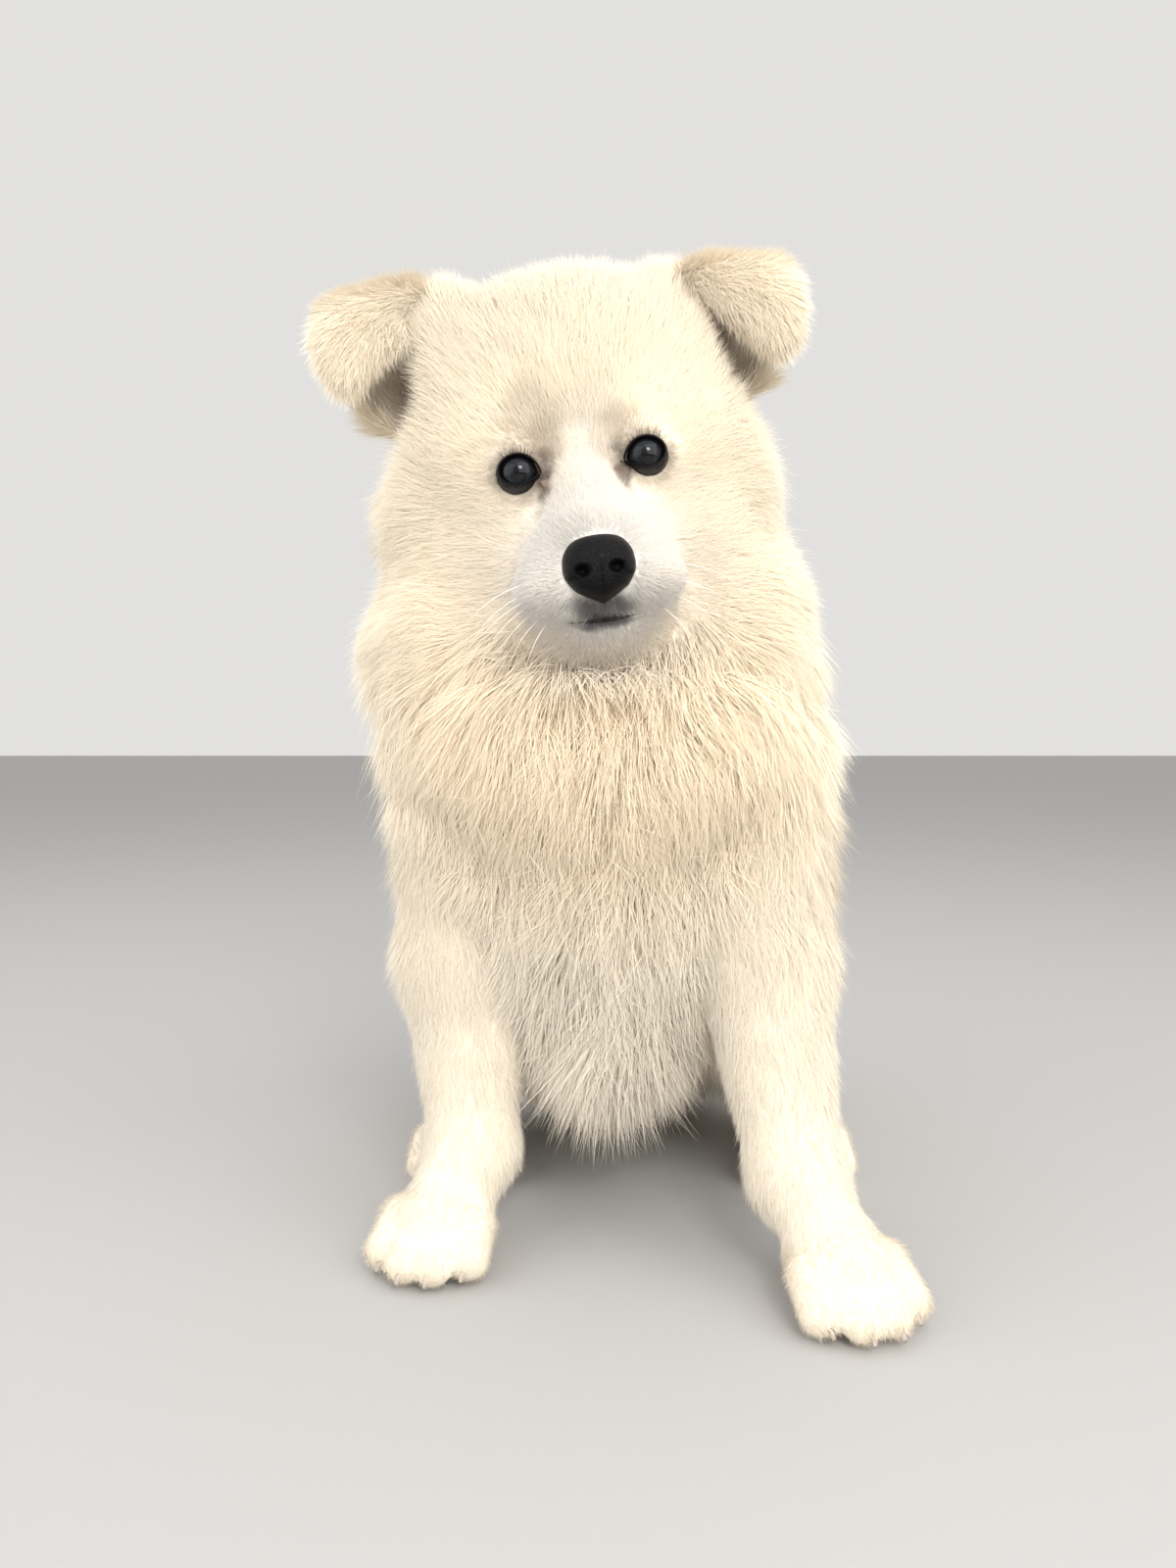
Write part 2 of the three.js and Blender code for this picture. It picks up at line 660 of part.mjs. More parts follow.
// Angles run round the trunk from the left side over the back at 90 degrees to the right side.
const trunkLie = () => at(0, 0.35, -0.9);
const inForeleg = (p) => Object.values(LEGS).some((leg) => forelegField(leg)(p) < -4);
const inHindleg = (p) => Object.values(LEGS).some((leg) => thighField(leg)(p) < -4);
const rows = (list, size, seed) => rowsOfLocks(trunkField, trunkRoute, list, trunkLie, size, {
  seed,
  skip: (p) => inForeleg(p) || inHindleg(p) || p.z < 24,
});

const trunkCore = cutAway(
  moulded(under(trunkField, CHEST_COAT.depth), trunkRoute, { sides: 22, stations: 10 }),
  floorBlock,
);
const neckTop = beyond(HEAD_CUT, true).applyMatrix4(headPlace.matrixWorld);
const headParts = { parts: [...head.parts, jaw].map(headInPlace) };
const neck = fused(
  [cutAway(trunkCore, neckTop, beyond(NECK_CUT)), ...rows([[0.165, 0, 360, 9], [0.26, 18, 378, 8]], RUFF, 21)],
  [headParts],
);
const chest = fused(
  [
    cutAway(trunkCore, beyond(NECK_CUT, true), beyond(LOIN_CUT)),
    ...rows([[0.38, 0, 360, 8], [0.48, 20, 380, 8], [0.6, 215, 325, 2]], CHEST_COAT, 22),
  ],
  [headParts, neck],
);
const loin = fused(
  [
    cutAway(trunkCore, beyond(NECK_CUT, true), beyond(LOIN_CUT, true)),
    ...rows(
      [[0.54, 10, 170, 4], [0.68, 0, 180, 5], [0.82, 0, 180, 5], [0.96, 0, 180, 5]],
      BACK_COAT,
      23,
    ),
  ],
  [neck, chest],
  [floorBlock],
);
keep(body, 'neck', neck.geometry, coat);
keep(body, 'chest', chest.geometry, coat);
keep(body, 'loin_and_rump', loin.geometry, coat);

// Legs, each cut clear of what it grows from.

const THIGH_COAT = { length: 50, width: 42, depth: 11 };
for (const [name, leg] of Object.entries(LEGS)) {
  const paw = { parts: [cutAway(pawShape(leg.paw, leg.splay, 20), floorBlock)] };
  const foreleg = moulded(forelegField(leg), along(leg.shoulder, leg.elbow, leg.wrist, leg.paw), {
    sides: 14,
    stations: 8,
  });
  keep(body, `front_paw_${name}`, paw.parts[0], coatLegs);
  keep(body, `foreleg_${name}`, fused([foreleg], [paw, neck, chest, loin], [floorBlock]).geometry, coatLegs);

  const hindPaw = { parts: [cutAway(pawShape(leg.hindPaw, 0, 16), floorBlock)] };
  const hockWhole = moulded(taper(leg.hock, leg.hindPaw, 17, 16), along(leg.hock, leg.hindPaw), {
    sides: 12,
    stations: 2,
  });
  const hock = fused([hockWhole], [hindPaw, loin], [floorBlock]);
  const thighRoute = along(leg.hip, leg.knee);
  const outerSide = name === 'left' ? [-60, 80] : [100, 240];
  const breeches = rowsOfLocks(
    thighField(leg),
    thighRoute,
    [[0.05, ...outerSide, 2], [0.6, ...outerSide, 3]],
    () => at(0, 0.3, -0.95),
    THIGH_COAT,
    { seed: 38, skip: (p) => p.z < 44 || trunkField(p) < -BACK_COAT.depth },
  );
  const thighCore = moulded(under(thighField(leg), THIGH_COAT.depth), thighRoute, { sides: 14, stations: 4 });
  const thigh = fused([thighCore, ...breeches], [loin, chest, hindPaw, hock], [floorBlock]);
  keep(body, `hind_paw_${name}`, hindPaw.parts[0], coatLegs);
  keep(body, `hock_${name}`, hock.geometry, coatLegs);
  keep(body, `thigh_${name}`, thigh.geometry, coat);
}

const TAIL_COAT = { length: 64, width: 42, depth: 12 };
const tailRoute = along(...TAIL_ROUTE);
const tailCore = moulded(under(tailField, TAIL_COAT.depth), tailRoute, {
  sides: 12,
  stations: 8,
  reference: at(0, 0, 1),
});
const tailCurlCentre = at(42, 190, 0);
const tailLocks = rowsOfLocks(
  tailField,
  tailRoute,
  [[0.06, -80, 80, 2], [0.34, -80, 80, 3], [0.6, -80, 80, 2], [0.82, -80, 80, 2]],
  (p) => at(p.y - tailCurlCentre.y, tailCurlCentre.x - p.x, -8),
  TAIL_COAT,
  { seed: 43, reference: at(0, 0, 1) },
);
keep(body, 'tail', fused([tailCore, ...tailLocks], [loin], [floorBlock]).geometry, coat);

// The origin goes on the floor under the middle of the bounding box.

puppy.updateMatrixWorld(true);
const extent = new THREE.Box3().setFromObject(puppy, true);
const middle = extent.getCenter(new THREE.Vector3());
body.position.set(-middle.x, -middle.y, -extent.min.z);

export default puppy;
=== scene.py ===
import math

import bpy
import numpy as np
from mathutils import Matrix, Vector
from mathutils.bvhtree import BVHTree
from mathutils.kdtree import KDTree


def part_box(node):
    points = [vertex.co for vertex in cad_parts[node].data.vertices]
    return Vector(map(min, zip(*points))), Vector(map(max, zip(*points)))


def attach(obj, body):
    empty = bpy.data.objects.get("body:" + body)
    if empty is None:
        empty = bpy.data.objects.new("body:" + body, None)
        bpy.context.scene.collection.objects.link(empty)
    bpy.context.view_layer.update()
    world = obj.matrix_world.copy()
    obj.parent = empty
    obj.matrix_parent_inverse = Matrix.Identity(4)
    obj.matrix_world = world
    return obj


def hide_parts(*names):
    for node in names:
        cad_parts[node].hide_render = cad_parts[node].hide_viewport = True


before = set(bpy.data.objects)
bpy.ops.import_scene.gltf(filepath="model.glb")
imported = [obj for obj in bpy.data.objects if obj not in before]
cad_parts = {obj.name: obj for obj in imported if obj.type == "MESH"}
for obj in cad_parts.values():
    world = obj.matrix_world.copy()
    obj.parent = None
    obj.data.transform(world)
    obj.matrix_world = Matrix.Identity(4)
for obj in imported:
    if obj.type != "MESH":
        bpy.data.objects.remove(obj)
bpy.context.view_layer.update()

# The studio: a plain pale floor in soft daylight from a broad window ahead of the puppy on its left, from one
# bright pane of it that shines in the eyes, from the sky, and off a pale card on the right.
# Places are in millimetres with the chest near the middle, and placed() sets them in the room.

HEAD_AT = np.array((-17.0, 0.0, 312.0))  # the point between the eyes
HEAD_TILT = math.radians(-8.0)
EYE_AT = np.array((24.0, -43.0, 1.5))  # the left eye, seen from the point between the eyes
EYEBALL_RADIUS = 9.0
VIEWER_AT = (-15.0, -495.0, 218.0)  # crouching in front, a little above the chest
LAMPS_AIM = (0.0, 20.0, 200.0)


def from_head(points):
    """Places in the head's own frame, set where the tilted head is."""
    q = np.atleast_2d(np.asarray(points, float))
    c, s = math.cos(HEAD_TILT), math.sin(HEAD_TILT)
    return np.stack([c * q[:, 0] + s * q[:, 2], q[:, 1], c * q[:, 2] - s * q[:, 0]], 1) + HEAD_AT


def to_head(points):
    q = np.atleast_2d(np.asarray(points, float)) - HEAD_AT
    c, s = math.cos(HEAD_TILT), math.sin(HEAD_TILT)
    return np.stack([c * q[:, 0] - s * q[:, 2], q[:, 1], c * q[:, 2] + s * q[:, 0]], 1)


def turned_with_head(directions):
    return from_head(directions) - HEAD_AT


eye_low, eye_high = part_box("eye_left")
left_eye = from_head(EYE_AT)[0]
HOME = np.array((
    500.0 * (eye_low[0] + eye_high[0]) - left_eye[0],
    1000.0 * eye_high[1] - (left_eye[1] + EYEBALL_RADIUS),
    0.0,
))


def placed(points):
    return (np.asarray(points, float) + HOME) / 1000.0


def srgb(red, green, blue):
    """A colour as a person reads it off a swatch, 0 to 255, in the linear values that a shader takes."""
    shares = [v / 255 for v in (red, green, blue)]
    return (*(v / 12.92 if v <= 0.04 else ((v + 0.055) / 1.055) ** 2.4 for v in shares), 1.0)


def new_finish(name, roughness, specular=0.5, colour=None):
    """A material, its node tree and its one shader."""
    finish = bpy.data.materials.new(name)
    finish.use_nodes = True
    shader = finish.node_tree.nodes["Principled BSDF"]
    shader.inputs["Roughness"].default_value = roughness
    shader.inputs["Specular IOR Level"].default_value = specular
    if colour:
        shader.inputs["Base Color"].default_value = colour
    return finish, finish.node_tree, shader


view = bpy.data.cameras.new("view")
view.sensor_fit = "VERTICAL"
view.sensor_height = 36.0
view.lens = 27.45
view.clip_start = 0.01
camera = bpy.data.objects.new("camera", view)
camera.location = placed(VIEWER_AT)
camera.rotation_euler = (math.radians(87.0), 0.0, 0.0)
bpy.context.scene.collection.objects.link(camera)
bpy.context.scene.camera = camera

bpy.ops.object.select_all(action="DESELECT")
bpy.ops.mesh.primitive_plane_add(size=14.0)
floor = bpy.context.object
floor.name = "floor"
floor_paint, tree, shader = new_finish("floor_paint", 0.8, colour=srgb(178, 177, 176))
floor.data.materials.append(floor_paint)

bpy.context.scene.view_settings.view_transform = "Standard"
LAMPS = [
    # name, where from, size in metres, watts, colour
    ("window", (750.0, -1100.0, 1100.0), 2.0, 24.0, (1.0, 0.985, 0.955)),
    ("card", (-1200.0, -700.0, 600.0), 2.0, 15.0, (0.98, 0.985, 1.0)),
    ("sky", (-100.0, 300.0, 1500.0), 1.6, 5.0, (0.97, 0.98, 1.0)),
    ("pane", (230.0, -1150.0, 860.0), 0.36, 7.5, (1.0, 0.99, 0.97)),
]
for lamp_name, lamp_from, lamp_size, watts, lamp_colour in LAMPS:
    lamp = bpy.data.lights.new(lamp_name, "AREA")
    lamp.size = lamp_size
    lamp.energy = watts
    lamp.color = lamp_colour
    stand = bpy.data.objects.new(lamp_name, lamp)
    stand.location = placed(lamp_from)
    aim = Vector(placed(LAMPS_AIM)) - stand.location
    stand.rotation_euler = aim.to_track_quat("-Z", "Y").to_euler()
    bpy.context.scene.collection.objects.link(stand)

room = bpy.data.worlds.new("room")
room.use_nodes = True
sky = room.node_tree.nodes["Background"]
sky.inputs["Color"].default_value = srgb(226, 225, 223)
sky.inputs["Strength"].default_value = 1.0
bpy.context.scene.world = room

# The puppy's body: bone, muscle and fat under one unbroken skin, from the nose to the tip of the tail.
# Balls laid where its masses are run into one skin, which then settles on the smooth outline of the flesh,
# as deep under the tips of the coat as the coat is thick there.

SIDES = (("left", 1), ("right", -1))
LEGS = {
    1: {
        "shoulder": (54.0, 20.0, 180.0), "elbow": (58.0, 4.0, 116.0), "wrist": (66.0, -38.0, 42.0),
        "paw": (80.0, -67.0, 17.0), "knee": (70.0, 78.0, 78.0), "hip": (56.0, 150.0, 78.0),
        "hock": (80.0, 142.0, 20.0), "hind_paw": (86.0, 66.0, 16.0), "splay": 0.3,
    },
    -1: {
        "shoulder": (-62.0, 24.0, 178.0), "elbow": (-67.0, 18.0, 116.0), "wrist": (-63.0, -4.0, 40.0),
        "paw": (-75.0, -25.0, 17.0), "knee": (-64.0, 78.0, 78.0), "hip": (-54.0, 150.0, 78.0),
        "hock": (-74.0, 142.0, 20.0), "hind_paw": (-75.0, 66.0, 16.0), "splay": -0.25,
    },
}
TAIL_ROUTE = np.array([
    (0, 206, 48), (14, 236, 38), (43, 244, 30), (70, 232, 28), (86, 208, 26), (90, 184, 22),
], float)
TAIL_RADII = (22.0, 28.0, 32.0, 32.0, 27.0, 15.0)


def egg(centre, radii, pitch=0.0):
    return ("egg", np.array(centre, float), np.array(radii, float), pitch)


def taper(start, end, radius_start, radius_end):
    return ("taper", np.array(start, float), np.array(end, float), (radius_start, radius_end))


def both(make):
    return [make(1.0), make(-1.0)]


TOE_LANES = (-1.5, -0.5, 0.5, 1.5)
TOE_SPACING = 11.5
OUTER_TOE_SHORTER = 8.0


def foot_ways(splay):
    """The way a foot points and the way across it."""
    return np.array(((math.sin(splay), -math.cos(splay), 0.0), (math.cos(splay), math.sin(splay), 0.0)))


def toe_tip(paw, splay, lane, reach):
    ahead, across = foot_ways(splay)
    return np.array(paw) + across * lane * TOE_SPACING + ahead * (reach - OUTER_TOE_SHORTER * (abs(lane) > 1))


def toes(paw, splay, reach):
    """The pad of a paw and its four toes, the middle two the longest."""
    ahead, across = foot_ways(splay)
    heel = paw - 12.0 * ahead
    made = [taper((heel[0], heel[1], 17.0), paw, 20.0, 19.0)]
    for lane in TOE_LANES:
        root = paw + across * lane * 9.2
        tip = toe_tip(paw, splay, lane, reach)
        made.append(taper((root[0], root[1], 17.0), (tip[0], tip[1], 9.5), 12.5, 10.5))
    return made


EAR_CUP = ("egg", np.array((72.0, -20.0, 47.0)), np.array((17.0, 26.0, 20.0)), 0.0)
HEAD_FLESH = [
    egg((0, 12, 26), (76, 66, 67)),
    egg((45, 1, 53), (27, 30, 35)),
    egg((-47, -3, 56), (29, 30, 35)),
    egg((46, 16, 2), (42, 46, 52)),
    egg((-49, 16, 2), (43, 46, 52)),
    egg((46, 20, -46), (44, 48, 48)),
    egg((-51, 20, -46), (46, 48, 48)),
    egg((0, -6, -22), (60, 45, 46)),
    taper((0, 30, 14), (0, 58, -62), 50, 54),
    *both(lambda s: egg((s * 25, -22, 9), (27, 27, 26))),
    egg((0, -48, -37), (29, 36, 24)),
    taper((0, -38, -2), (0, -74, -29), 15, 12),
    *both(lambda s: egg((s * 13, -60, -47), (17, 25, 12))),
]
JAW_FLESH = [egg((0, -52, -56), (19, 26, 10)), taper((0, -62, -56), (0, -20, -53), 10, 13)]
TRUNK_FLESH = [
    taper((-16, 36, 290), (-10, 40, 246), 74, 76),
    egg((-13, 36, 248), (98, 77, 46)),
    egg((-12, 2, 214), (66, 52, 46)),
    egg((-8, 40, 214), (105, 86, 50)),
    egg((-8, 46, 160), (96, 66, 66)),
    taper((-6, 82, 232), (-3, 122, 160), 60, 74),
    taper((-5, 56, 138), (-3, 126, 66), 62, 56),
    taper((-10, 18, 196), (-6, 26, 106), 64, 44),
    taper((-3, 122, 150), (0, 162, 66), 76, 70),
    egg((0, 172, 54), (72, 64, 58)),
]
TAIL_FLESH = [taper(TAIL_ROUTE[i], TAIL_ROUTE[i + 1], TAIL_RADII[i], TAIL_RADII[i + 1]) for i in range(5)]


def unit(v):
    return v / np.maximum(np.linalg.norm(v, axis=-1, keepdims=True), 1e-6)


def smoothstep(value, low, high):
    t = np.clip((value - low) / (high - low), 0.0, 1.0)
    return t * t * (3.0 - 2.0 * t)


def mass_depth(mass, p):
    """How far outside a mass each point lies, negative inside it."""
    kind, centre, size, more = mass
    if kind == "egg":
        d = p - centre
        c, s = math.cos(more), math.sin(more)
        q = np.stack([d[:, 0], d[:, 1] * c + d[:, 2] * s, d[:, 2] * c - d[:, 1] * s], 1) / size
        near = np.linalg.norm(q, axis=1)
        return near * (near - 1.0) / np.maximum(np.linalg.norm(q / size, axis=1), 1e-6)
    along = size - centre
    t = np.clip((p - centre) @ along / (along @ along), 0.0, 1.0)
    away = np.linalg.norm(p - centre - t[:, None] * along, axis=1)
    return away - (more[0] + (more[1] - more[0]) * t)


def run_together(distances, soft):
    d = distances[0]
    for e in distances[1:]:
        h = np.maximum(soft - np.abs(d - e), 0.0) / soft
        d = np.minimum(d, e) - h * h * soft / 4.0
    return d


def leg_flesh(leg):
    knee, hip = np.array(leg["knee"]), np.array(leg["hip"])
    return {
        "foreleg": [
            taper(leg["shoulder"], leg["elbow"], 36, 32),
            taper(leg["elbow"], leg["wrist"], 32, 21),
            taper(leg["wrist"], leg["paw"], 21, 17),
        ],
        "paw": toes(leg["paw"], leg["splay"], 20.0),
        "thigh": [egg((knee + hip) / 2, (34, 64, 50), -0.15), taper(leg["knee"], leg["hock"], 24, 18)],
        "hock": [taper(leg["hock"], leg["hind_paw"], 17, 16)],
        "hind_paw": toes(leg["hind_paw"], 0.0, 16.0),
    }


# Each part of the body: its masses, how softly they run together, and the depth of coat over its skin.
PARTS = {"trunk": (TRUNK_FLESH, 38.0, 17.5), "tail": (TAIL_FLESH, 10.0, 18.0)}
for side_name, side in SIDES:
    shapes = leg_flesh(LEGS[side])
    PARTS["foreleg_" + side_name] = (shapes["foreleg"], 12.0, 5.0)
    PARTS["paw_" + side_name] = (shapes["paw"], 3.0, 2.6)
    PARTS["thigh_" + side_name] = (shapes["thigh"], 14.0, 11.0)
    PARTS["hock_" + side_name] = (shapes["hock"], 6.0, 4.0)
    PARTS["hind_paw_" + side_name] = (shapes["hind_paw"], 3.0, 2.6)


FLOOR_CLEAR = 0.6


def head_coat_depth(q):
    """Short on the muzzle, fuller on the crown, deep over the cheeks and the back of the head."""
    muzzle = 1.0 - smoothstep(q[:, 1], -66.0, -34.0)
    cheek = smoothstep(q[:, 1], -30.0, 4.0) * (1.0 - smoothstep(q[:, 2], 20.0, 58.0))
    crown = smoothstep(q[:, 1], -40.0, 10.0)
    return 2.8 - 0.6 * muzzle + 6.0 * crown + 7.5 * cheek


def body_parts_depth(p):
    """The distance of each point from the skin of each part."""
    q = to_head(p)
    head = run_together([mass_depth(m, q) for m in HEAD_FLESH], 12.0) + head_coat_depth(q)
    cup = mass_depth(EAR_CUP, q * np.where(q[:, :1] < 0, (-1, 1, 1), (1, 1, 1)))
    made = {
        "head": -run_together([-head, cup], 8.0),
        "jaw": run_together([mass_depth(m, q) for m in JAW_FLESH], 5.0) + 1.2,
    }
    for part, (masses, soft, depth) in PARTS.items():
        made[part] = run_together([mass_depth(m, p) for m in masses], soft) + depth
    return made


def skin_depth(p):
    parts = body_parts_depth(p)
    d = run_together([parts["head"], parts["jaw"]], 2.5)
    d = run_together([d, parts["trunk"]], 30.0)
    for name in ("left", "right"):
        front = run_together([parts["foreleg_" + name], parts["paw_" + name]], 8.0)
        hind = run_together([parts["hock_" + name], parts["hind_paw_" + name]], 8.0)
        hind = run_together([parts["thigh_" + name], hind], 8.0)
        d = run_together([run_together([d, front], 20.0), hind], 14.0)
    d = run_together([d, parts["tail"]], 14.0)
    return np.maximum(d, FLOOR_CLEAR - p[:, 2])


def skin_slope(p):
    """The way straight out of the skin at each point."""
    return unit(np.stack([skin_depth(p + shift) - skin_depth(p - shift) for shift in 0.5 * np.eye(3)], 1))


def lay_ball(centre, radii, pitch=0.0, in_head=False):
    if in_head:
        centre = from_head(centre)[0]
    bpy.ops.mesh.primitive_uv_sphere_add(segments=24, ring_count=14, radius=0.001, location=placed(centre))
    ball = bpy.context.object
    ball.scale = radii
    ball.rotation_euler = (pitch, HEAD_TILT if in_head else 0.0, 0.0)
    return ball


SMALLEST_BALL = 3.0
BALL_SPACING = 9.0


def lay_mass(mass, depth, in_head):
    kind, centre, size, more = mass
    if kind == "egg":
        return [lay_ball(centre, np.maximum(size - depth, SMALLEST_BALL), more, in_head)]
    made = []
    count = max(2, int(np.linalg.norm(size - centre) / BALL_SPACING))
    for i in range(count + 1):
        t = i / count
        radius = more[0] + (more[1] - more[0]) * t - depth
        radii = np.full(3, max(radius, SMALLEST_BALL))
        made.append(lay_ball(centre + (size - centre) * t, radii, 0.0, in_head))
    return made


# The ear leather rises from the side of the skull as a hollow sheet, folds over forward and hangs outwards.
EAR_STATIONS = [
    # place on the right ear, half width, hollow, direction across, share of the left ear's drop
    ((60, 16, 26), 17, 8, (0.8, -0.6, -0.1), 0.2),
    ((66, 12, 44), 21, 9, (0.88, -0.45, -0.1), 0.5),
    ((68, 5, 63), 23, 8, (0.93, -0.33, -0.12), 0.9),
    ((69, -6, 78), 23, 4, (0.97, -0.2, -0.12), 1.0),
    ((72, -18, 79), 22, 3, (0.97, -0.1, -0.15), 1.0),
    ((78, -26, 69), 18, 3, (0.97, 0, -0.1), 1.0),
    ((83, -28, 57), 13, 2, (0.97, 0.05, 0), 1.0),
    ((86, -26, 46), 8, 1, (0.97, 0.1, 0.05), 1.0),
]
LEFT_EAR_DROP = np.array((-2.0, 0.0, -8.0))
EAR_THICKNESS = 7.5


def ear_stops(side):
    """The places along one ear, both given as if on the left."""
    stops = np.array([s[0] for s in EAR_STATIONS], float)
    return stops + np.outer([s[4] for s in EAR_STATIONS], LEFT_EAR_DROP) * (side > 0)


def ear_route(t, side):
    """Point, direction, width direction, half width and hollow of an ear at a share of its length."""
    stops = ear_stops(side)
    last = len(stops) - 1
    x = np.clip(t, 0.0, 1.0) * last
    low = np.minimum(x.astype(int), last - 1)
    f = (x - low)[:, None]

    def rounded(i0, i1, i2, i3):
        a, b, c, d = (stops[np.clip(i, 0, last)] for i in (i0, i1, i2, i3))
        turn, twist = 2 * a - 5 * b + 4 * c - d, 3 * b - a - 3 * c + d
        place = 0.5 * (2 * b + (c - a) * f + turn * f**2 + twist * f**3)
        return place, unit((c - a) + 2 * turn * f + 3 * twist * f**2)

    place, forward = rounded(low - 1, low, low + 1, low + 2)
    table = np.array([(s[1], s[2], *s[3]) for s in EAR_STATIONS], float)
    mixed = table[low] * (1 - f) + table[low + 1] * f
    across = mixed[:, 2:]
    across = unit(across - (across * forward).sum(1, keepdims=True) * forward)
    return place, forward, across, mixed[:, 0], mixed[:, 1]


def read(items, what="co", width=3, kind=float):
    """Rows of numbers, one for each vertex, edge, face or corner of a mesh."""
    values = np.zeros(len(items) * width, kind)
    items.foreach_get(what, values)
    return values.reshape(-1, width)


def read_points(piece):
    return read(piece.data.vertices) * 1000.0 - HOME


def write_points(piece, points):
    piece.data.vertices.foreach_set("co", placed(points).ravel())
    piece.data.update()


def turn_outward():
    """Turns all faces of the piece in hand outwards."""
    bpy.ops.object.mode_set(mode="EDIT")
    bpy.ops.mesh.select_all(action="SELECT")
    bpy.ops.mesh.normals_make_consistent(inside=False)
    bpy.ops.object.mode_set(mode="OBJECT")


def join_all(pieces):
    bpy.ops.object.select_all(action="DESELECT")
    for piece in pieces:
        piece.select_set(True)
    bpy.context.view_layer.objects.active = pieces[0]
    bpy.ops.object.join()
    return bpy.context.object


def lay_ear(side):
    bpy.ops.mesh.primitive_uv_sphere_add(segments=48, ring_count=60, radius=1.0)
    sheet = bpy.context.object
    co = read(sheet.data.vertices)
    t = np.arccos(np.clip(co[:, 2], -1, 1)) / math.pi
    turn = np.arctan2(co[:, 1], co[:, 0])
    place, forward, across, half_width, hollow = ear_route(t, side)
    out = np.cross(across, forward)
    rounding = np.sqrt(np.maximum(1 - np.abs(2 * t - 1) ** 6, 0.0))
    u = np.cos(turn)
    q = place + across * (u * rounding * half_width)[:, None]
    q = q + out * (rounding * (hollow * (u * u - 0.5) + np.sin(turn) * EAR_THICKNESS / 2))[:, None]
    write_points(sheet, from_head(q * (side, 1, 1)))
    turn_outward()
    return sheet


bpy.ops.object.select_all(action="DESELECT")
balls = []
for mass in HEAD_FLESH:
    balls += lay_mass(mass, 4.0, True)
for mass in JAW_FLESH:
    balls += lay_mass(mass, 1.5, True)
for masses, soft, depth in PARTS.values():
    for mass in masses:
        balls += lay_mass(mass, depth, False)
ear_sheets = [lay_ear(1), lay_ear(-1)]
ear_nearest = []
for sheet in ear_sheets:
    sheet_points = [v.co.copy() for v in sheet.data.vertices]
    ear_nearest.append(BVHTree.FromPolygons(sheet_points, [tuple(f.vertices) for f in sheet.data.polygons]))
skin = join_all(balls + ear_sheets)
skin.name = "skin"
bpy.ops.object.transform_apply(location=True, rotation=True, scale=True)

run_in = skin.modifiers.new("run_in", "REMESH")
run_in.mode = "VOXEL"
run_in.voxel_size = 0.0026
bpy.ops.object.modifier_apply(modifier="run_in")


def mean_of_neighbours(values, edges):
    """For each vertex the mean of what its neighbours along the edges have."""
    count = len(values)
    ends = np.concatenate([edges[:, 0], edges[:, 1]])
    others = np.concatenate([edges[:, 1], edges[:, 0]])
    share = np.maximum(np.bincount(ends, minlength=count), 1)
    flat = values.reshape(count, -1)
    sums = [np.bincount(ends, column[others], minlength=count) for column in flat.T]
    return (np.stack(sums, 1) / share[:, None]).reshape(values.shape)


# The face has finer skin, for its folds.
bpy.ops.object.mode_set(mode="EDIT")
bpy.ops.mesh.select_all(action="DESELECT")
bpy.ops.object.mode_set(mode="OBJECT")
x, y, z = to_head(read(skin.data.polygons, "center") * 1000.0 - HOME).T
on_face = (y < -26.0) & (z > -80.0) & (np.abs(x) < 52.0) & (z < 34.0)
skin.data.polygons.foreach_set("select", on_face)
bpy.ops.object.mode_set(mode="EDIT")
bpy.ops.mesh.subdivide(number_cuts=1)
bpy.ops.mesh.select_all(action="DESELECT")
bpy.ops.object.mode_set(mode="OBJECT")

# It settles on the flesh, all but the ears, which keep the shape of their leather.
ON_EAR = 0.0016
points = read_points(skin)
edges = read(skin.data.edges, "vertices", 2, np.int64)
ear_share = np.zeros(len(points))
for nearest in ear_nearest:
    for i in np.flatnonzero(points[:, 2] > 310.0):
        found = nearest.find_nearest(Vector(placed(points[i])))
        if found[3] is not None and found[3] < ON_EAR:
            ear_share[i] = 1.0
ear_share *= skin_depth(points) > 1.0
ear_share = mean_of_neighbours(mean_of_neighbours(ear_share, edges), edges)
for round_number in range(5):
    pull = (skin_depth(points) * (1.0 - ear_share))[:, None]
    points = points - np.clip(pull, -4.0, 4.0) * skin_slope(points)
    if round_number < 4:
        points += 0.5 * (mean_of_neighbours(points, edges) - points)

# Folds and swellings of the face: place in the head's frame, radii, height.
FACE_FOLDS = [
    ((0, -42, 4), (7, 14, 13), -1.6),
    ((22, -50, 13), (13, 10, 4.5), 1.5),
    ((13.5, -50, -2), (4.5, 8, 4), -1.6),
    ((26, -50, -8), (11, 9, 3), -0.9),
    ((0, -84, -58), (1.3, 12, 8), -1.6),
    ((14, -70, -48), (9, 10, 7), 0.8),
    ((25, -58, -54), (5, 8, 4), -1.4),
]
normals = skin_slope(points)
q = to_head(points)
for centre, radii, height in FACE_FOLDS:
    for side in ((1, -1) if centre[0] else (1,)):
        away = (q - np.array(centre) * (side, 1, 1)) / radii
        points += normals * (height * np.exp(-(away**2).sum(1)))[:, None]

# Round each eye the skin drapes over the ball as lids, and inside their almond it passes behind the ball.
LID_REACH = {"wide": 7.3, "high": 6.0, "low": 5.6}
SOCKET_REACH = 17.0
BEHIND_BALL = 8.0
OVER_BALL = 10.1


def lid_opening(x, z):
    """Under 1 inside the almond between the lids; x runs outwards from the nose and z upwards."""
    corner = 1.5 * np.clip(-x / LID_REACH["wide"], 0.0, 2.0) ** 4
    tall = np.where(z > 0, LID_REACH["high"], LID_REACH["low"])
    return np.hypot(x / (LID_REACH["wide"] + 0.6 * corner), (z + 0.8 * corner) / tall)


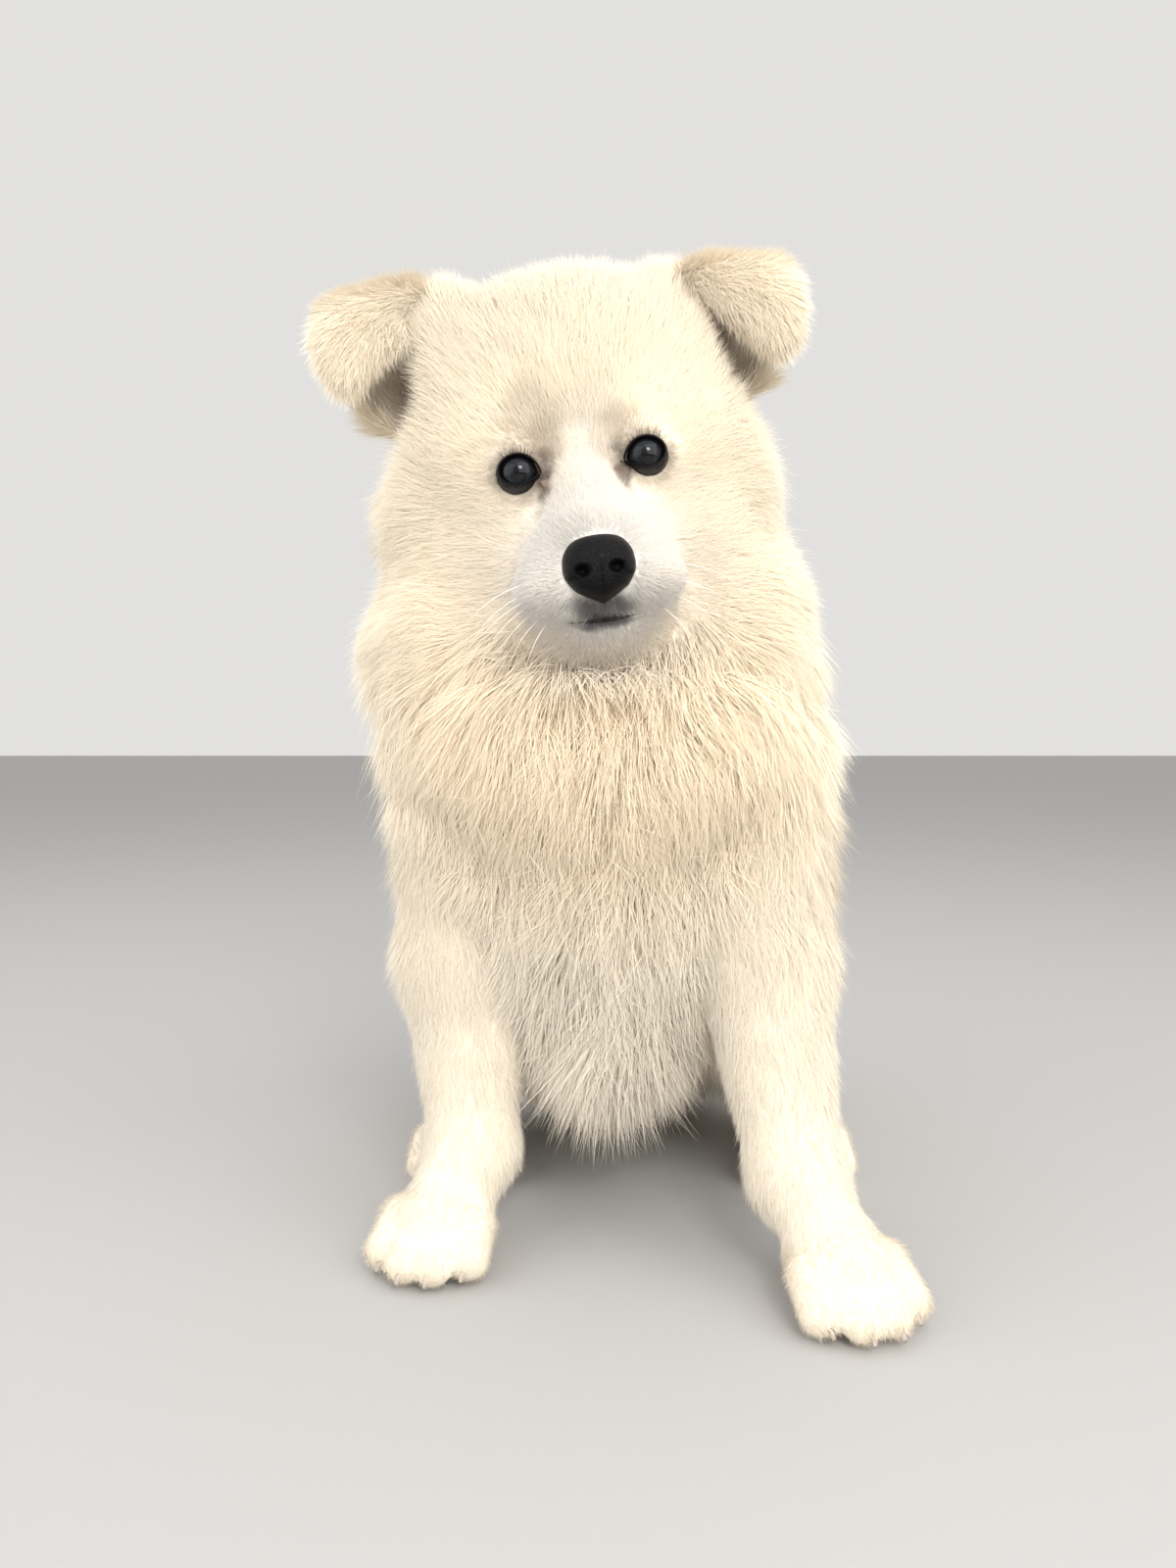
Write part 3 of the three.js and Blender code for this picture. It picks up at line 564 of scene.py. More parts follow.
def seen_from_eye(q, side):
    """Places from an eye's middle, their distance and their share of the lids' opening."""
    d = q - EYE_AT * (side, 1, 1)
    return d, np.linalg.norm(d, axis=1), lid_opening(d[:, 0] * side, d[:, 2])


for side in (1, -1):
    d, r, opening = seen_from_eye(to_head(points), side)
    near = (r < SOCKET_REACH) & (d[:, 1] < 2.0)
    cover = OVER_BALL - 0.5 * (1.0 - smoothstep(opening, 1.0, 1.25))
    wanted = np.where(opening < 1.0, np.minimum(r, BEHIND_BALL), np.maximum(r, cover))
    q = EYE_AT * (side, 1, 1) + d * (wanted / np.maximum(r, 1e-6))[:, None]
    points = np.where(near[:, None], from_head(q), points)
round_lids = np.zeros(len(points))
for side in (1, -1):
    d, r, opening = seen_from_eye(to_head(points), side)
    round_lids[(r < 16.5) & (d[:, 1] < 3.0) & (opening > 1.22)] = 0.5
for round_number in range(8):
    points += round_lids[:, None] * (mean_of_neighbours(points, edges) - points)
points[:, 2] = np.maximum(points[:, 2], FLOOR_CLEAR)
write_points(skin, points)
skin.data.shade_smooth()

bpy.ops.object.mode_set(mode="EDIT")
bpy.ops.mesh.select_all(action="SELECT")
bpy.ops.uv.smart_project(angle_limit=math.radians(66.0), island_margin=0.0015)
bpy.ops.object.mode_set(mode="OBJECT")
skin.data.uv_layers.active.name = "OFBake"

# Markings and painted shade of skin and coat alike: cream on the crown and ears, peach under the chin, white on
# blaze, muzzle and legs, pink in the ears, brown and black round the eyes and under the nose, painted grey shade on
# the sides of the muzzle, darker on its right, and a painted shadow along the closed mouth.
COAT_CREAM = srgb(250, 238, 216)
RAGGED = 0.012
MARKINGS_AND_PAINTED_SHADE = [
    # in the head's frame, place, radii, colour, strength
    (False, (0, 10, 50), (150, 160, 150), srgb(238, 229, 214), 0.8),
    (False, (-8, -36, 212), (100, 80, 86), srgb(249, 231, 203), 0.65),
    (True, (0, 4, 62), (92, 70, 46), srgb(226, 214, 195), 0.8),
    (True, (0, -50, -40), (66, 54, 48), srgb(240, 231, 219), 0.6),
    (True, (0, -52, -14), (17, 46, 46), srgb(225, 220, 211), 0.6),
    (True, (0, -66, -42), (40, 46, 37), srgb(220, 216, 210), 0.9),
    # painted grey shade on the sides of the muzzle, darker on the puppy's right, the side away from the window
    (True, (28, -60, -48), (9, 16, 15), srgb(224, 221, 217), 0.4),
    (True, (-28, -60, -48), (9, 16, 15), srgb(216, 213, 210), 0.5),
    (True, (60, -4, 43), (13, 12, 15), srgb(158, 126, 120), 0.75),
    (True, (-62, -4, 45), (13, 12, 15), srgb(158, 126, 120), 0.75),
    (True, (-17, -48, 16), (14, 24, 18), srgb(186, 170, 152), 0.42),
    (True, (-14, -50, 8), (8, 18, 11), srgb(170, 152, 136), 0.35),
    (True, (16, -50, 10), (11, 20, 14), srgb(192, 176, 158), 0.4),
    (True, (24, -46, 1.5), (14, 14, 12.5), srgb(160, 140, 122), 0.5),
    (True, (-24, -46, 1.5), (14, 14, 12.5), srgb(160, 140, 122), 0.5),
    (True, (14.5, -50, -6), (3.4, 9, 7), srgb(112, 86, 70), 0.75),
    (True, (-14.5, -50, -6), (3.4, 9, 7), srgb(112, 86, 70), 0.75),
    (True, (23.4, -48, 1.2), (11.0, 14, 9.2), srgb(52, 44, 41), 0.85),
    (True, (-23.4, -48, 1.2), (11.0, 14, 9.2), srgb(52, 44, 41), 0.85),
    (True, (0, -80, -55), (13, 12, 6), srgb(84, 80, 82), 0.85),
    # a painted shadow along the closed mouth, over the lip line
    (True, (0, -78, -59.6), (17, 12, 2.4), srgb(52, 48, 50), 0.8),
]


def add_node(tree, kind, settings=None, **sockets):
    """A node with its settings, and with its sockets set, or linked where another node's output is given."""
    made = tree.nodes.new("ShaderNode" + kind)
    for name, setting in (settings or {}).items():
        setattr(made, name, setting)
    for name, value in sockets.items():
        socket = made.inputs[name.replace("_", " ")]
        if isinstance(value, bpy.types.NodeSocket):
            tree.links.new(value, socket)
        else:
            socket.default_value = value
    return made


def texture(tree, kind, settings=None, **sockets):
    where = add_node(tree, "TexCoord").outputs["Object"]
    return add_node(tree, "Tex" + kind, settings, Vector=where, **sockets)


def add_relief(tree, shader, height, strength, depth):
    bump = add_node(tree, "Bump", Strength=strength, Distance=depth, Height=height)
    tree.links.new(bump.outputs["Normal"], shader.inputs["Normal"])


def markings_and_shade(tree):
    """The coat's cream with the markings and the painted shade one over the other, each with a soft, ragged edge.
    """
    ragged = add_node(tree, "VectorMath", {"operation": "MULTIPLY_ADD"})
    tree.links.new(texture(tree, "Noise", Scale=70.0, Detail=3.0).outputs["Color"], ragged.inputs[0])
    ragged.inputs[1].default_value = (RAGGED, RAGGED, RAGGED)
    tree.links.new(add_node(tree, "TexCoord").outputs["Object"], ragged.inputs[2])
    colour = COAT_CREAM
    for in_head, centre, radii, tint, strength in MARKINGS_AND_PAINTED_SHADE:
        middle = placed(from_head(centre)[0] if in_head else centre) + RAGGED / 2
        size = np.array(radii, float) / 1000.0
        patch = add_node(tree, "Mapping", Vector=ragged.outputs[0], Scale=1.0 / size, Location=-middle / size)
        away = add_node(tree, "VectorMath", {"operation": "LENGTH"}, Vector=patch.outputs[0])
        fade = add_node(
            tree, "MapRange", {"interpolation_type": "SMOOTHSTEP"},
            Value=away.outputs["Value"], From_Min=1.25, From_Max=0.45, To_Max=strength,
        )
        over = add_node(tree, "Mix", {"data_type": "RGBA"}, Factor=fade.outputs["Result"], A=colour, B=tint)
        colour = over.outputs["Result"]
    return colour


skin_finish, tree, shader = new_finish("skin_finish", 0.85, 0.2)
tree.links.new(markings_and_shade(tree), shader.inputs["Base Color"])
add_relief(tree, shader, texture(tree, "Noise", Scale=900.0).outputs["Fac"], 0.5, 0.001)
skin.data.materials.clear()
skin.data.materials.append(skin_finish)
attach(skin, "root")
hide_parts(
    "head", "lower_jaw", "ear_left", "ear_right", "neck", "chest", "loin_and_rump", "tail",
    "foreleg_left", "foreleg_right", "front_paw_left", "front_paw_right", "thigh_left", "thigh_right",
    "hock_left", "hock_right", "hind_paw_left", "hind_paw_right",
)

# The eyes: wet, nearly black balls with a clear cornea that bulges in front, and slate-dark irises that leave
# no white in sight. Each sits in its socket, held by the lids, and looks at the viewer.
CORNEA = {"radius": 8.9, "bulge": 0.9, "spread": 0.62}
viewer = to_head(VIEWER_AT)[0]
eye_finish, tree, shader = new_finish("eye_finish", 0.06)
shader.inputs["IOR"].default_value = 1.36
off_axis = add_node(tree, "Attribute", {"attribute_name": "off_axis"})
iris = add_node(tree, "ValToRGB", Fac=off_axis.outputs["Fac"])
iris.color_ramp.interpolation = "EASE"
IRIS_BANDS = [
    # share of a right angle off the gaze, colour
    (0.0, srgb(10, 11, 14)), (0.19, srgb(12, 13, 16)), (0.24, srgb(25, 30, 37)), (0.40, srgb(15, 18, 21)),
    (0.50, srgb(12, 12, 14)), (0.60, srgb(26, 20, 18)),
]
while len(iris.color_ramp.elements) < len(IRIS_BANDS):
    iris.color_ramp.elements.new(0.5)
for element, (share, colour) in zip(iris.color_ramp.elements, IRIS_BANDS):
    element.position = share
    element.color = colour
tree.links.new(iris.outputs["Color"], shader.inputs["Base Color"])

for side_name, side in SIDES:
    middle = EYE_AT * (side, 1, 1)
    gaze = unit(viewer - middle)
    bpy.ops.object.select_all(action="DESELECT")
    bpy.ops.mesh.primitive_uv_sphere_add(segments=64, ring_count=48, radius=1.0)
    eyeball = bpy.context.object
    eyeball.name = "eyeball_" + side_name
    turn = Vector((0, 0, 1)).rotation_difference(Vector(gaze)).to_matrix()
    co = read(eyeball.data.vertices)
    angle = np.arccos(np.clip(co[:, 2], -1.0, 1.0))
    radius = CORNEA["radius"] + CORNEA["bulge"] * np.exp(-((angle / CORNEA["spread"]) ** 4))
    write_points(eyeball, from_head(middle + (co * radius[:, None]) @ np.array(turn).T))
    mark_off_axis = eyeball.data.attributes.new("off_axis", "FLOAT", "POINT")
    mark_off_axis.data.foreach_set("value", angle / (math.pi / 2))
    eyeball.data.shade_smooth()
    eyeball.data.materials.append(eye_finish)
    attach(eyeball, "root")
    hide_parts("eye_" + side_name)

# The rims of the lids: bare black skin, a little moist, round the opening of each eye and down into its inner
# corner. Each lies on the ball and joins the furred skin of the lids.
RIM_ROUND = 0.25
rim_finish, tree, shader = new_finish("rim_finish", 0.5, 0.12, srgb(18, 16, 17))
add_relief(tree, shader, texture(tree, "Noise", Scale=1500.0).outputs["Fac"], 0.3, 0.0004)

for side_name, side in SIDES:
    bpy.ops.object.select_all(action="DESELECT")
    bpy.ops.mesh.primitive_torus_add(
        major_segments=72, minor_segments=12, major_radius=1.0, minor_radius=RIM_ROUND)
    rim = bpy.context.object
    rim.name = "lid_rim_" + side_name
    co = read(rim.data.vertices)
    around = np.arctan2(co[:, 1], co[:, 0])
    out = (np.hypot(co[:, 0], co[:, 1]) - 1.0) / RIM_ROUND
    up = co[:, 2] / RIM_ROUND
    corner = np.clip(-np.cos(around), 0.0, 1.0) ** 6
    wide = LID_REACH["wide"] + 1.3 * corner + 0.6 * out
    high = np.where(np.sin(around) > 0, LID_REACH["high"], LID_REACH["low"]) + 0.55 * out
    x = wide * np.cos(around)
    z = high * np.sin(around) - 1.2 * corner
    ball_radius = 9.55 + 0.75 * up - 0.25 * out
    y = -np.sqrt(np.maximum(ball_radius**2 - x**2 - z**2, 1.0))
    ring = EYE_AT * (side, 1, 1) + np.stack([side * x, y, z], 1)
    write_points(rim, from_head(ring))
    turn_outward()
    rim.data.shade_smooth()
    rim.data.materials.append(rim_finish)
    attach(rim, "root")
    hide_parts("eyelids_" + side_name)

# The nose leather: firm, black and pebbled, broad above and drawn in to the lip, with a comma of a nostril on
# each side and a groove between them. Soft daylight lies along its top.
bpy.ops.object.select_all(action="DESELECT")
bpy.ops.mesh.primitive_uv_sphere_add(segments=128, ring_count=96, radius=1.0)
leather = bpy.context.object
leather.name = "nose_leather"
NOSE_AT = (0.0, -82.0, -42.0)
NOSE_RADII = (12.6, 11.2, 12.2)
NOSE_SPREAD = [
    # height as a share of the upper radius, breadth there as a share of the wider radius
    (-1, 0.3), (-0.9, 0.46), (-0.75, 0.72), (-0.58, 0.9), (-0.2, 1.0), (0.2, 1.02), (0.67, 1.1), (1, 1.25),
]
co = read(leather.data.vertices)
front = np.clip(-co[:, 1], 0.0, 1.0)
x, y, z = (co * NOSE_RADII).T
x *= np.interp(co[:, 2], *zip(*NOSE_SPREAD))
y += 1.6 * co[:, 2] + 1.2 * front**4


def away_from(at_x, at_z, wide, tall):
    return np.hypot((np.abs(x) - at_x) / wide, (z - at_z) / tall)


hole = 1.0 - smoothstep(away_from(6.0, -1.2, 3.0, 2.4), 0.2, 1.2)
slit = 1.0 - smoothstep(away_from(9.0, -3.2, 3.2, 1.3), 0.3, 1.2)
wing = np.exp(-(away_from(8.6, -0.4, 4.6, 4.4) ** 2))
groove = np.exp(-((x / 0.7) ** 2)) * (1.0 - smoothstep(z, -3.0, 2.0))
y += front * (4.6 * np.maximum(hole, 0.6 * slit) - 1.0 * wing + 0.9 * groove)
write_points(leather, from_head(np.stack([x, y, z], 1) + NOSE_AT))
leather.data.shade_smooth()
nose_finish, tree, shader = new_finish("nose_finish", 0.34, 0.1, srgb(9, 9, 11))
pebbles = texture(tree, "Voronoi", {"feature": "DISTANCE_TO_EDGE"}, Scale=1100.0)
creases = add_node(tree, "MapRange", Value=pebbles.outputs["Distance"], From_Max=0.22)
add_relief(tree, shader, creases.outputs["Result"], 0.45, 0.0003)
leather.data.materials.append(nose_finish)
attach(leather, "root")
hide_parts("nose")

# The lips: a dark, faintly curved line of bare skin where the closed mouth meets under the nose. It is thickest in
# the middle and is lost in the fur at both ends.
LIP_LINE = [
    # place, share of the thickness
    ((-19, -62, -57.0), 0.05), ((-13, -70.5, -58.2), 0.3), ((-6.5, -76.0, -59.2), 0.75), ((0, -77.4, -59.4), 1.0),
    ((6.5, -76.0, -59.2), 0.75), ((13, -70.5, -58.2), 0.3), ((19, -62, -57.0), 0.05),
]


def draw_strands(name, routes, radii, thickness, roundness, steps, order):
    """Round strands along smooth lines, swelling and tapering by shares of their thickness."""
    drawn = bpy.data.curves.new(name, "CURVE")
    drawn.dimensions = "3D"
    drawn.bevel_depth = thickness
    drawn.bevel_resolution = roundness
    drawn.resolution_u = steps
    for route in routes:
        strand = drawn.splines.new("NURBS")
        strand.points.add(len(route) - 1)
        for knot, at, radius in zip(strand.points, placed(from_head(route)), radii):
            knot.co = (*at, 1.0)
            knot.radius = radius
        strand.use_endpoint_u = True
        strand.order_u = order
    strands = bpy.data.objects.new(name, drawn)
    bpy.context.scene.collection.objects.link(strands)
    bpy.ops.object.select_all(action="DESELECT")
    strands.select_set(True)
    bpy.context.view_layer.objects.active = strands
    bpy.ops.object.convert(target="MESH")
    strands = bpy.context.object
    strands.data.materials.clear()
    return strands


lip_route, lip_shares = zip(*LIP_LINE)
lips = draw_strands("lips", [lip_route], lip_shares, 0.0008, 4, 8, 4)
lips.data.materials.append(rim_finish)
lips.data.shade_smooth()
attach(lips, "root")

# Whiskers, lashes and brow hairs: single stiff hairs, each tapering to its tip. The whiskers grow in rows from
# the sides of the muzzle and arc outwards and down, the dark lashes stand along the upper lids, and a few long
# pale hairs stand over the eyes.
WHISKERS = [
    # root, middle and tip on the left side of the muzzle
    ((22, -66, -42), (39, -71, -42), (53, -66, -57)),
    ((23, -65, -45), (39, -70, -47), (51, -65, -63)),
    ((21, -67, -47), (34, -73, -49), (46, -71, -60)),
    ((23, -64, -49), (34, -70, -52), (44, -67, -64)),
    ((24, -63, -52), (33, -68, -56), (41, -65, -67)),
    ((22, -64, -54), (30, -69, -59), (36, -67, -69)),
    ((20, -66, -56), (26, -71, -62), (30, -69, -71)),
]
HAIRS = {"whiskers": [], "lashes": [], "brow_hairs": []}
lash_chance = np.random.default_rng(31)
for side in (1, -1):
    for number, bend in enumerate(WHISKERS):
        if side < 0 or number % 2 == 0:
            HAIRS["whiskers"].append(np.array(bend, float) * (side, 1, 1))
    for number in range(13):
        around = math.radians(42.0 + 8.0 * number + lash_chance.uniform(-4.0, 4.0))
        foot = np.array((LID_REACH["wide"] * math.cos(around), -8.6, LID_REACH["high"] * math.sin(around) + 0.2))
        away = np.array((0.7 * math.cos(around) + lash_chance.uniform(-0.4, 0.4), -0.8, 0.55))
        reach = lash_chance.uniform(2.0, 4.0)
        bend = [foot, foot + away * reach * 0.5 + (0, -0.5, -0.2), foot + away * reach + (0.0, 0.5, 0.9)]
        HAIRS["lashes"].append((EYE_AT + bend) * (side, 1, 1))
    for number in range(4):
        foot = EYE_AT + (-3.0 + 3.4 * number, -5.0, 12.0 + 1.5 * (number % 2))
        bend = [foot, foot + (1.5 + number, -5.0, 7.0), foot + (4.0 + 2 * number, -5.0, 14.0)]
        HAIRS["brow_hairs"].append(np.array(bend) * (side, 1, 1))
HAIR_LOOKS = [
    # name, thickness in metres, darker and paler colour of its banding
    ("whiskers", 0.00019, srgb(236, 226, 208), srgb(252, 248, 240)),
    ("lashes", 0.00012, srgb(28, 23, 21), srgb(86, 72, 62)),
    ("brow_hairs", 0.00014, srgb(226, 212, 190), srgb(250, 244, 232)),
]
for hair_name, hair_thickness, dark_colour, pale_colour in HAIR_LOOKS:
    hairs = draw_strands(hair_name, HAIRS[hair_name], (1.0, 0.75, 0.12), hair_thickness, 1, 6, 3)
    hair_finish, tree, shader = new_finish(hair_name + "_finish", 0.5)
    bands = texture(tree, "Noise", Scale=160.0).outputs["Fac"]
    shades = add_node(tree, "Mix", {"data_type": "RGBA"}, Factor=bands, A=dark_colour, B=pale_colour)
    tree.links.new(shades.outputs["Result"], shader.inputs["Base Color"])
    hairs.data.materials.append(hair_finish)
    hairs.data.shade_smooth()
    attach(hairs, "root")

# The claws: small, blunt and grey-brown horn, one at the tip of each toe, half buried in the fur of the feet.
# Each is drawn out of a short cone, bent down towards the floor.
CLAW_LENGTH = 5.4
CLAW_HALF_WIDTH, CLAW_HALF_HEIGHT = 1.5, 1.9
CLAW_BEYOND_TOE = 4.4
CLAW_ROOT_HEIGHT = 9.0
CLAW_CLEAR = 0.7
claw_finish, tree, shader = new_finish("claw_finish", 0.35)
horn = add_node(tree, "ValToRGB", Fac=texture(tree, "Noise", Scale=420.0).outputs["Fac"])
horn.color_ramp.elements[0].color = srgb(150, 138, 126)
horn.color_ramp.elements[1].color = srgb(200, 188, 174)
tree.links.new(horn.outputs["Color"], shader.inputs["Base Color"])

for side_name, side in SIDES:
    for foot_name, foot_at, splay, reach in (
        ("front", LEGS[side]["paw"], LEGS[side]["splay"], 20.0),
        ("hind", LEGS[side]["hind_paw"], 0.0, 16.0),
    ):
        ahead, across = foot_ways(splay)
        claws = []
        for lane in TOE_LANES:
            bpy.ops.object.select_all(action="DESELECT")
            bpy.ops.mesh.primitive_cone_add(vertices=16, radius1=1.0, radius2=0.5, depth=1.0)
            claw = bpy.context.object
            bpy.ops.object.mode_set(mode="EDIT")
            bpy.ops.mesh.select_all(action="SELECT")
            bpy.ops.mesh.subdivide(number_cuts=4)
            bpy.ops.object.mode_set(mode="OBJECT")
            co = read(claw.data.vertices)
            t = co[:, 2] + 0.5
            root = toe_tip(foot_at, splay, lane, reach + CLAW_BEYOND_TOE)
            root[2] = CLAW_ROOT_HEIGHT
            bent = root + ahead * (CLAW_LENGTH * t)[:, None] + across * (co[:, 0] * CLAW_HALF_WIDTH)[:, None]
            bent[:, 2] += co[:, 1] * CLAW_HALF_HEIGHT * (1.0 - 0.2 * t) - (0.9 * t + 3.2 * t * t)
            bent[:, 2] = np.maximum(bent[:, 2], CLAW_CLEAR)
            write_points(claw, bent)
            claws.append(claw)
        claws = join_all(claws)
        claws.name = "claws_" + foot_name + "_" + side_name
        turn_outward()
        claws.data.shade_smooth()
        claws.data.materials.append(claw_finish)
        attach(claws, "root")

# The coat: soft, stand-off white and cream hair, rooted all over the skin in closed, three-sided tufts that end
# in a point. It is shortest on muzzle and feet, longest on ruff, breast, breeches and tail, and lies back from
# the nose, outwards over the cheeks and down the body. Neighbouring tufts draw together a little at their tips.
edges = read(skin.data.edges, "vertices", 2, np.int64)
skin_points = read_points(skin)
skin_normals = read(skin.data.vertices, "normal")
depths = body_parts_depth(skin_points)
nearest_part = np.array(list(depths))[np.argmin(np.stack(list(depths.values()), 1), axis=1)]
q = to_head(skin_points)
x, y, z = skin_points.T
is_ear = ear_share > 0.5
is_head = np.isin(nearest_part, ("head", "jaw")) & ~is_ear
count = len(skin_points)

lie = np.zeros((count, 3))
length = np.full(count, 30.0)
lift = np.full(count, 24.0)
width = np.full(count, 1.0)
thick = np.ones(count)


def comb(where, way=None, long=None, rise=None, broad=None, dense=None):
    """Sets the coat over part of the skin: the way it lies, its length, lift, tufts' width and density."""
    for field, value in ((lie, way), (length, long), (lift, rise), (width, broad), (thick, dense)):
        if value is not None:
            field[where] = value[where] if np.shape(value)[:1] == (count,) else value


# Head: back from the nose, outwards over the cheeks, down the nape.
from_nose = q - (0.0, -86.0, -44.0)
reach_back = np.linalg.norm(from_nose, axis=1)
cheek = smoothstep(q[:, 1], -34.0, 0.0) * (1.0 - smoothstep(q[:, 2], 16.0, 50.0))
nape = smoothstep(q[:, 1], 22.0, 60.0)
behind_chin = (1.0 - smoothstep(q[:, 2], -70.0, -54.0)) * smoothstep(q[:, 1], -68.0, -46.0)
by_nose = 1.0 - smoothstep(reach_back, 12.0, 26.0)
head_lie = from_nose / np.maximum(reach_back, 1.0)[:, None]
head_lie[:, 2] -= 0.75 * cheek + 1.8 * nape
head_lie[:, 0] += 0.5 * cheek * np.sign(q[:, 0])
head_length = np.interp(reach_back, (0, 12, 28, 50, 75, 100, 150), (4, 5, 7, 9.5, 12.5, 15, 18))
comb(
    is_head, turned_with_head(head_lie),
    head_length + 16.0 * cheek + 10.0 * nape + 14.0 * behind_chin * (1.0 - cheek),
    15.0 + 4.0 * smoothstep(reach_back, 30.0, 100.0) + 16.0 * by_nose,
    0.4 + 0.06 * smoothstep(reach_back, 20.0, 110.0),
    2.6 - 1.7 * smoothstep(reach_back, 20.0, 100.0),
)

# Ears: along the leather to its tip, fanned out over the edges, a little longer at the root.
for side in (1, -1):
    stops = ear_stops(side)
    ways = np.gradient(stops, axis=0)
    on_side = is_ear & (np.sign(q[:, 0]) == side)
    away = np.linalg.norm(q[on_side][:, None, :] - stops * (side, 1, 1), axis=2)
    pick = np.argmin(away, axis=1)
    across = np.array([s[3] for s in EAR_STATIONS])[pick] * (side, 1, 1)
    half_widths = np.array([s[1] for s in EAR_STATIONS], float)[pick]
    off_middle = ((q[on_side] - stops[pick] * (side, 1, 1)) * across).sum(1) / half_widths
    fanned = unit(ways[pick] * (side, 1, 1)) + across * (0.9 * np.clip(off_middle, -1.2, 1.2) ** 3)[:, None]
    lie[on_side] = turned_with_head(fanned)
    length[on_side] = np.interp(pick, (0, 2, 4, 7), (16.0, 13.0, 11.0, 11.0))
comb(is_ear, rise=22.0, broad=0.4, dense=1.5)

# Trunk: down and back, fanning outwards from the middle of the chest, fuller on the breast and underneath.
ahead = 1.0 - smoothstep(y, -10.0, 50.0)
high_up = smoothstep(z, 165.0, 225.0)
underside = (1.0 - smoothstep(y, 30.0, 70.0)) * (1.0 - smoothstep(z, 90.0, 140.0))


def bump_at(values, middle, spread):
    return np.exp(-(((values - middle) / spread) ** 2))


breast = ahead * bump_at(z, 152.0, 34.0)
throat = ahead * bump_at(z, 202.0, 18.0)
under_chin = ahead * bump_at(z, 240.0, 17.0) * bump_at(x, -12.0, 32.0)
wisp = bump_at(x, -7.0, 11.0)
trunk_lie = np.stack([0.35 * ahead * np.tanh(x / 40.0), 0.3 - 0.35 * ahead, np.full(count, -0.92)], 1)
trunk_lift = 18.0 + 3.0 * high_up + 13.0 * breast - 6.0 * throat + 6.0 * under_chin
comb(
    nearest_part == "trunk", trunk_lie,
    31.0 + 4.0 * high_up + 6.0 * breast + underside * (15.0 + 16.0 * wisp),
    trunk_lift + 44.0 * underside * np.clip(-skin_normals[:, 2], 0.0, 1.0),
    0.42,
)

# Legs: down the limb, longer behind the forelegs, short and forward over the toes.
behind = smoothstep(skin_normals[:, 1], 0.0, 0.9)
low = 1.0 - smoothstep(z, 30.0, 120.0)
leg_length = 15.0 - 6.0 * low + 10.0 * behind * (1.0 - 0.5 * low) + 13.0 * smoothstep(z, 110.0, 180.0)
foot_length = 6.5 - 3.0 * smoothstep(-skin_normals[:, 2], 0.0, 0.7)
for side_name, side in SIDES:
    leg = LEGS[side]
    leg_lie = np.tile(unit(np.subtract(leg["wrist"], leg["elbow"])), (count, 1))
    leg_lie[:, 1] += 0.5 * behind
    comb(nearest_part == "foreleg_" + side_name, leg_lie, leg_length, 15.0, 0.42, 1.5)
    for foot, splay in (("paw_", leg["splay"]), ("hind_paw_", 0.0)):
        comb(nearest_part == foot + side_name, foot_ways(splay)[0] - (0, 0, 0.25), foot_length, 15.0, 0.4, 2.2)
    comb(nearest_part == "thigh_" + side_name, (0.0, 0.35, -0.93), 28.0, broad=0.46)
    comb(nearest_part == "hock_" + side_name, (0.0, -0.9, -0.3), 10.0, broad=0.36, dense=1.5)

# Tail: along its curve to the tip.
pick = np.argmin(np.linalg.norm(skin_points[:, None, :] - TAIL_ROUTE, axis=2), axis=1)
comb(nearest_part == "tail", unit(np.gradient(TAIL_ROUTE, axis=0)[pick]), 38.0, 16.0, 0.55)

for smoothing in range(14):
    lie, length, lift, width = (
        0.5 * (field + mean_of_neighbours(field, edges)) for field in (lie, length, lift, width)
    )

# Round the eyes the hair is short and parts away from the opening.
for side in (1, -1):
    d = q - EYE_AT * (side, 1, 1)
    beside = np.hypot(d[:, 0], d[:, 2])
    close = np.exp(-((beside / 10.5) ** 2)) * (d[:, 1] < 6.0) * is_head
    outward = turned_with_head(d * (1.0, 0.0, 1.0) / np.maximum(beside, 1.0)[:, None])
    lie += 1.3 * close[:, None] * outward
    length -= (length - 2.8) * np.clip(1.5 * close, 0.0, 1.0)
    width -= (width - 0.32) * close
    lift -= 8.0 * close

# Locks wander a little from the way the coat lies.
WAVES = (0.16, 0.3, 0.55)  # radians a millimetre
wander = np.zeros((count, 3))
for axis in range(3):
    for wave in range(3):
        wave_way = unit(np.random.default_rng(60 + 3 * axis + wave).normal(0.0, 1.0, 3))
        wander[:, axis] += 0.16 * np.sin(skin_points @ (wave_way * WAVES[wave]) + 1.7 * wave + axis)
lie = unit(lie) + wander * np.clip(length / 20.0, 0.2, 1.2)[:, None]
lie = unit(lie - (lie * skin_normals).sum(1, keepdims=True) * skin_normals)

# No hair grows on the bare rims, the leather, the lips or behind the eyes.
bare = np.linalg.norm((q - NOSE_AT) / (12.4, 12.0, 11.2), axis=1) < 1.0
for side in (1, -1):
    d, r, opening = seen_from_eye(q, side)
    bare |= (r < SOCKET_REACH) & (d[:, 1] < 2.0) & (opening < 1.08)
thick = thick * ~bare

skin.data.calc_loop_triangles()
corners = read(skin.data.loop_triangles, "vertices", 3, np.int64)
corner_loops = read(skin.data.loop_triangles, "loops", 3, np.int64)
unwrap = read(skin.data.uv_layers["OFBake"].data, "uv", 2)
sides_of = skin_points[corners]
across_face = np.cross(sides_of[:, 1] - sides_of[:, 0], sides_of[:, 2] - sides_of[:, 0])
area = 0.5 * np.linalg.norm(across_face, axis=1)
middle_of = sides_of.mean(1)
middle_in_head = to_head(middle_of)
first_part = nearest_part[corners[:, 0]]
first_is_ear = is_ear[corners[:, 0]]
first_is_head = np.isin(first_part, ("head", "jaw")) & ~first_is_ear

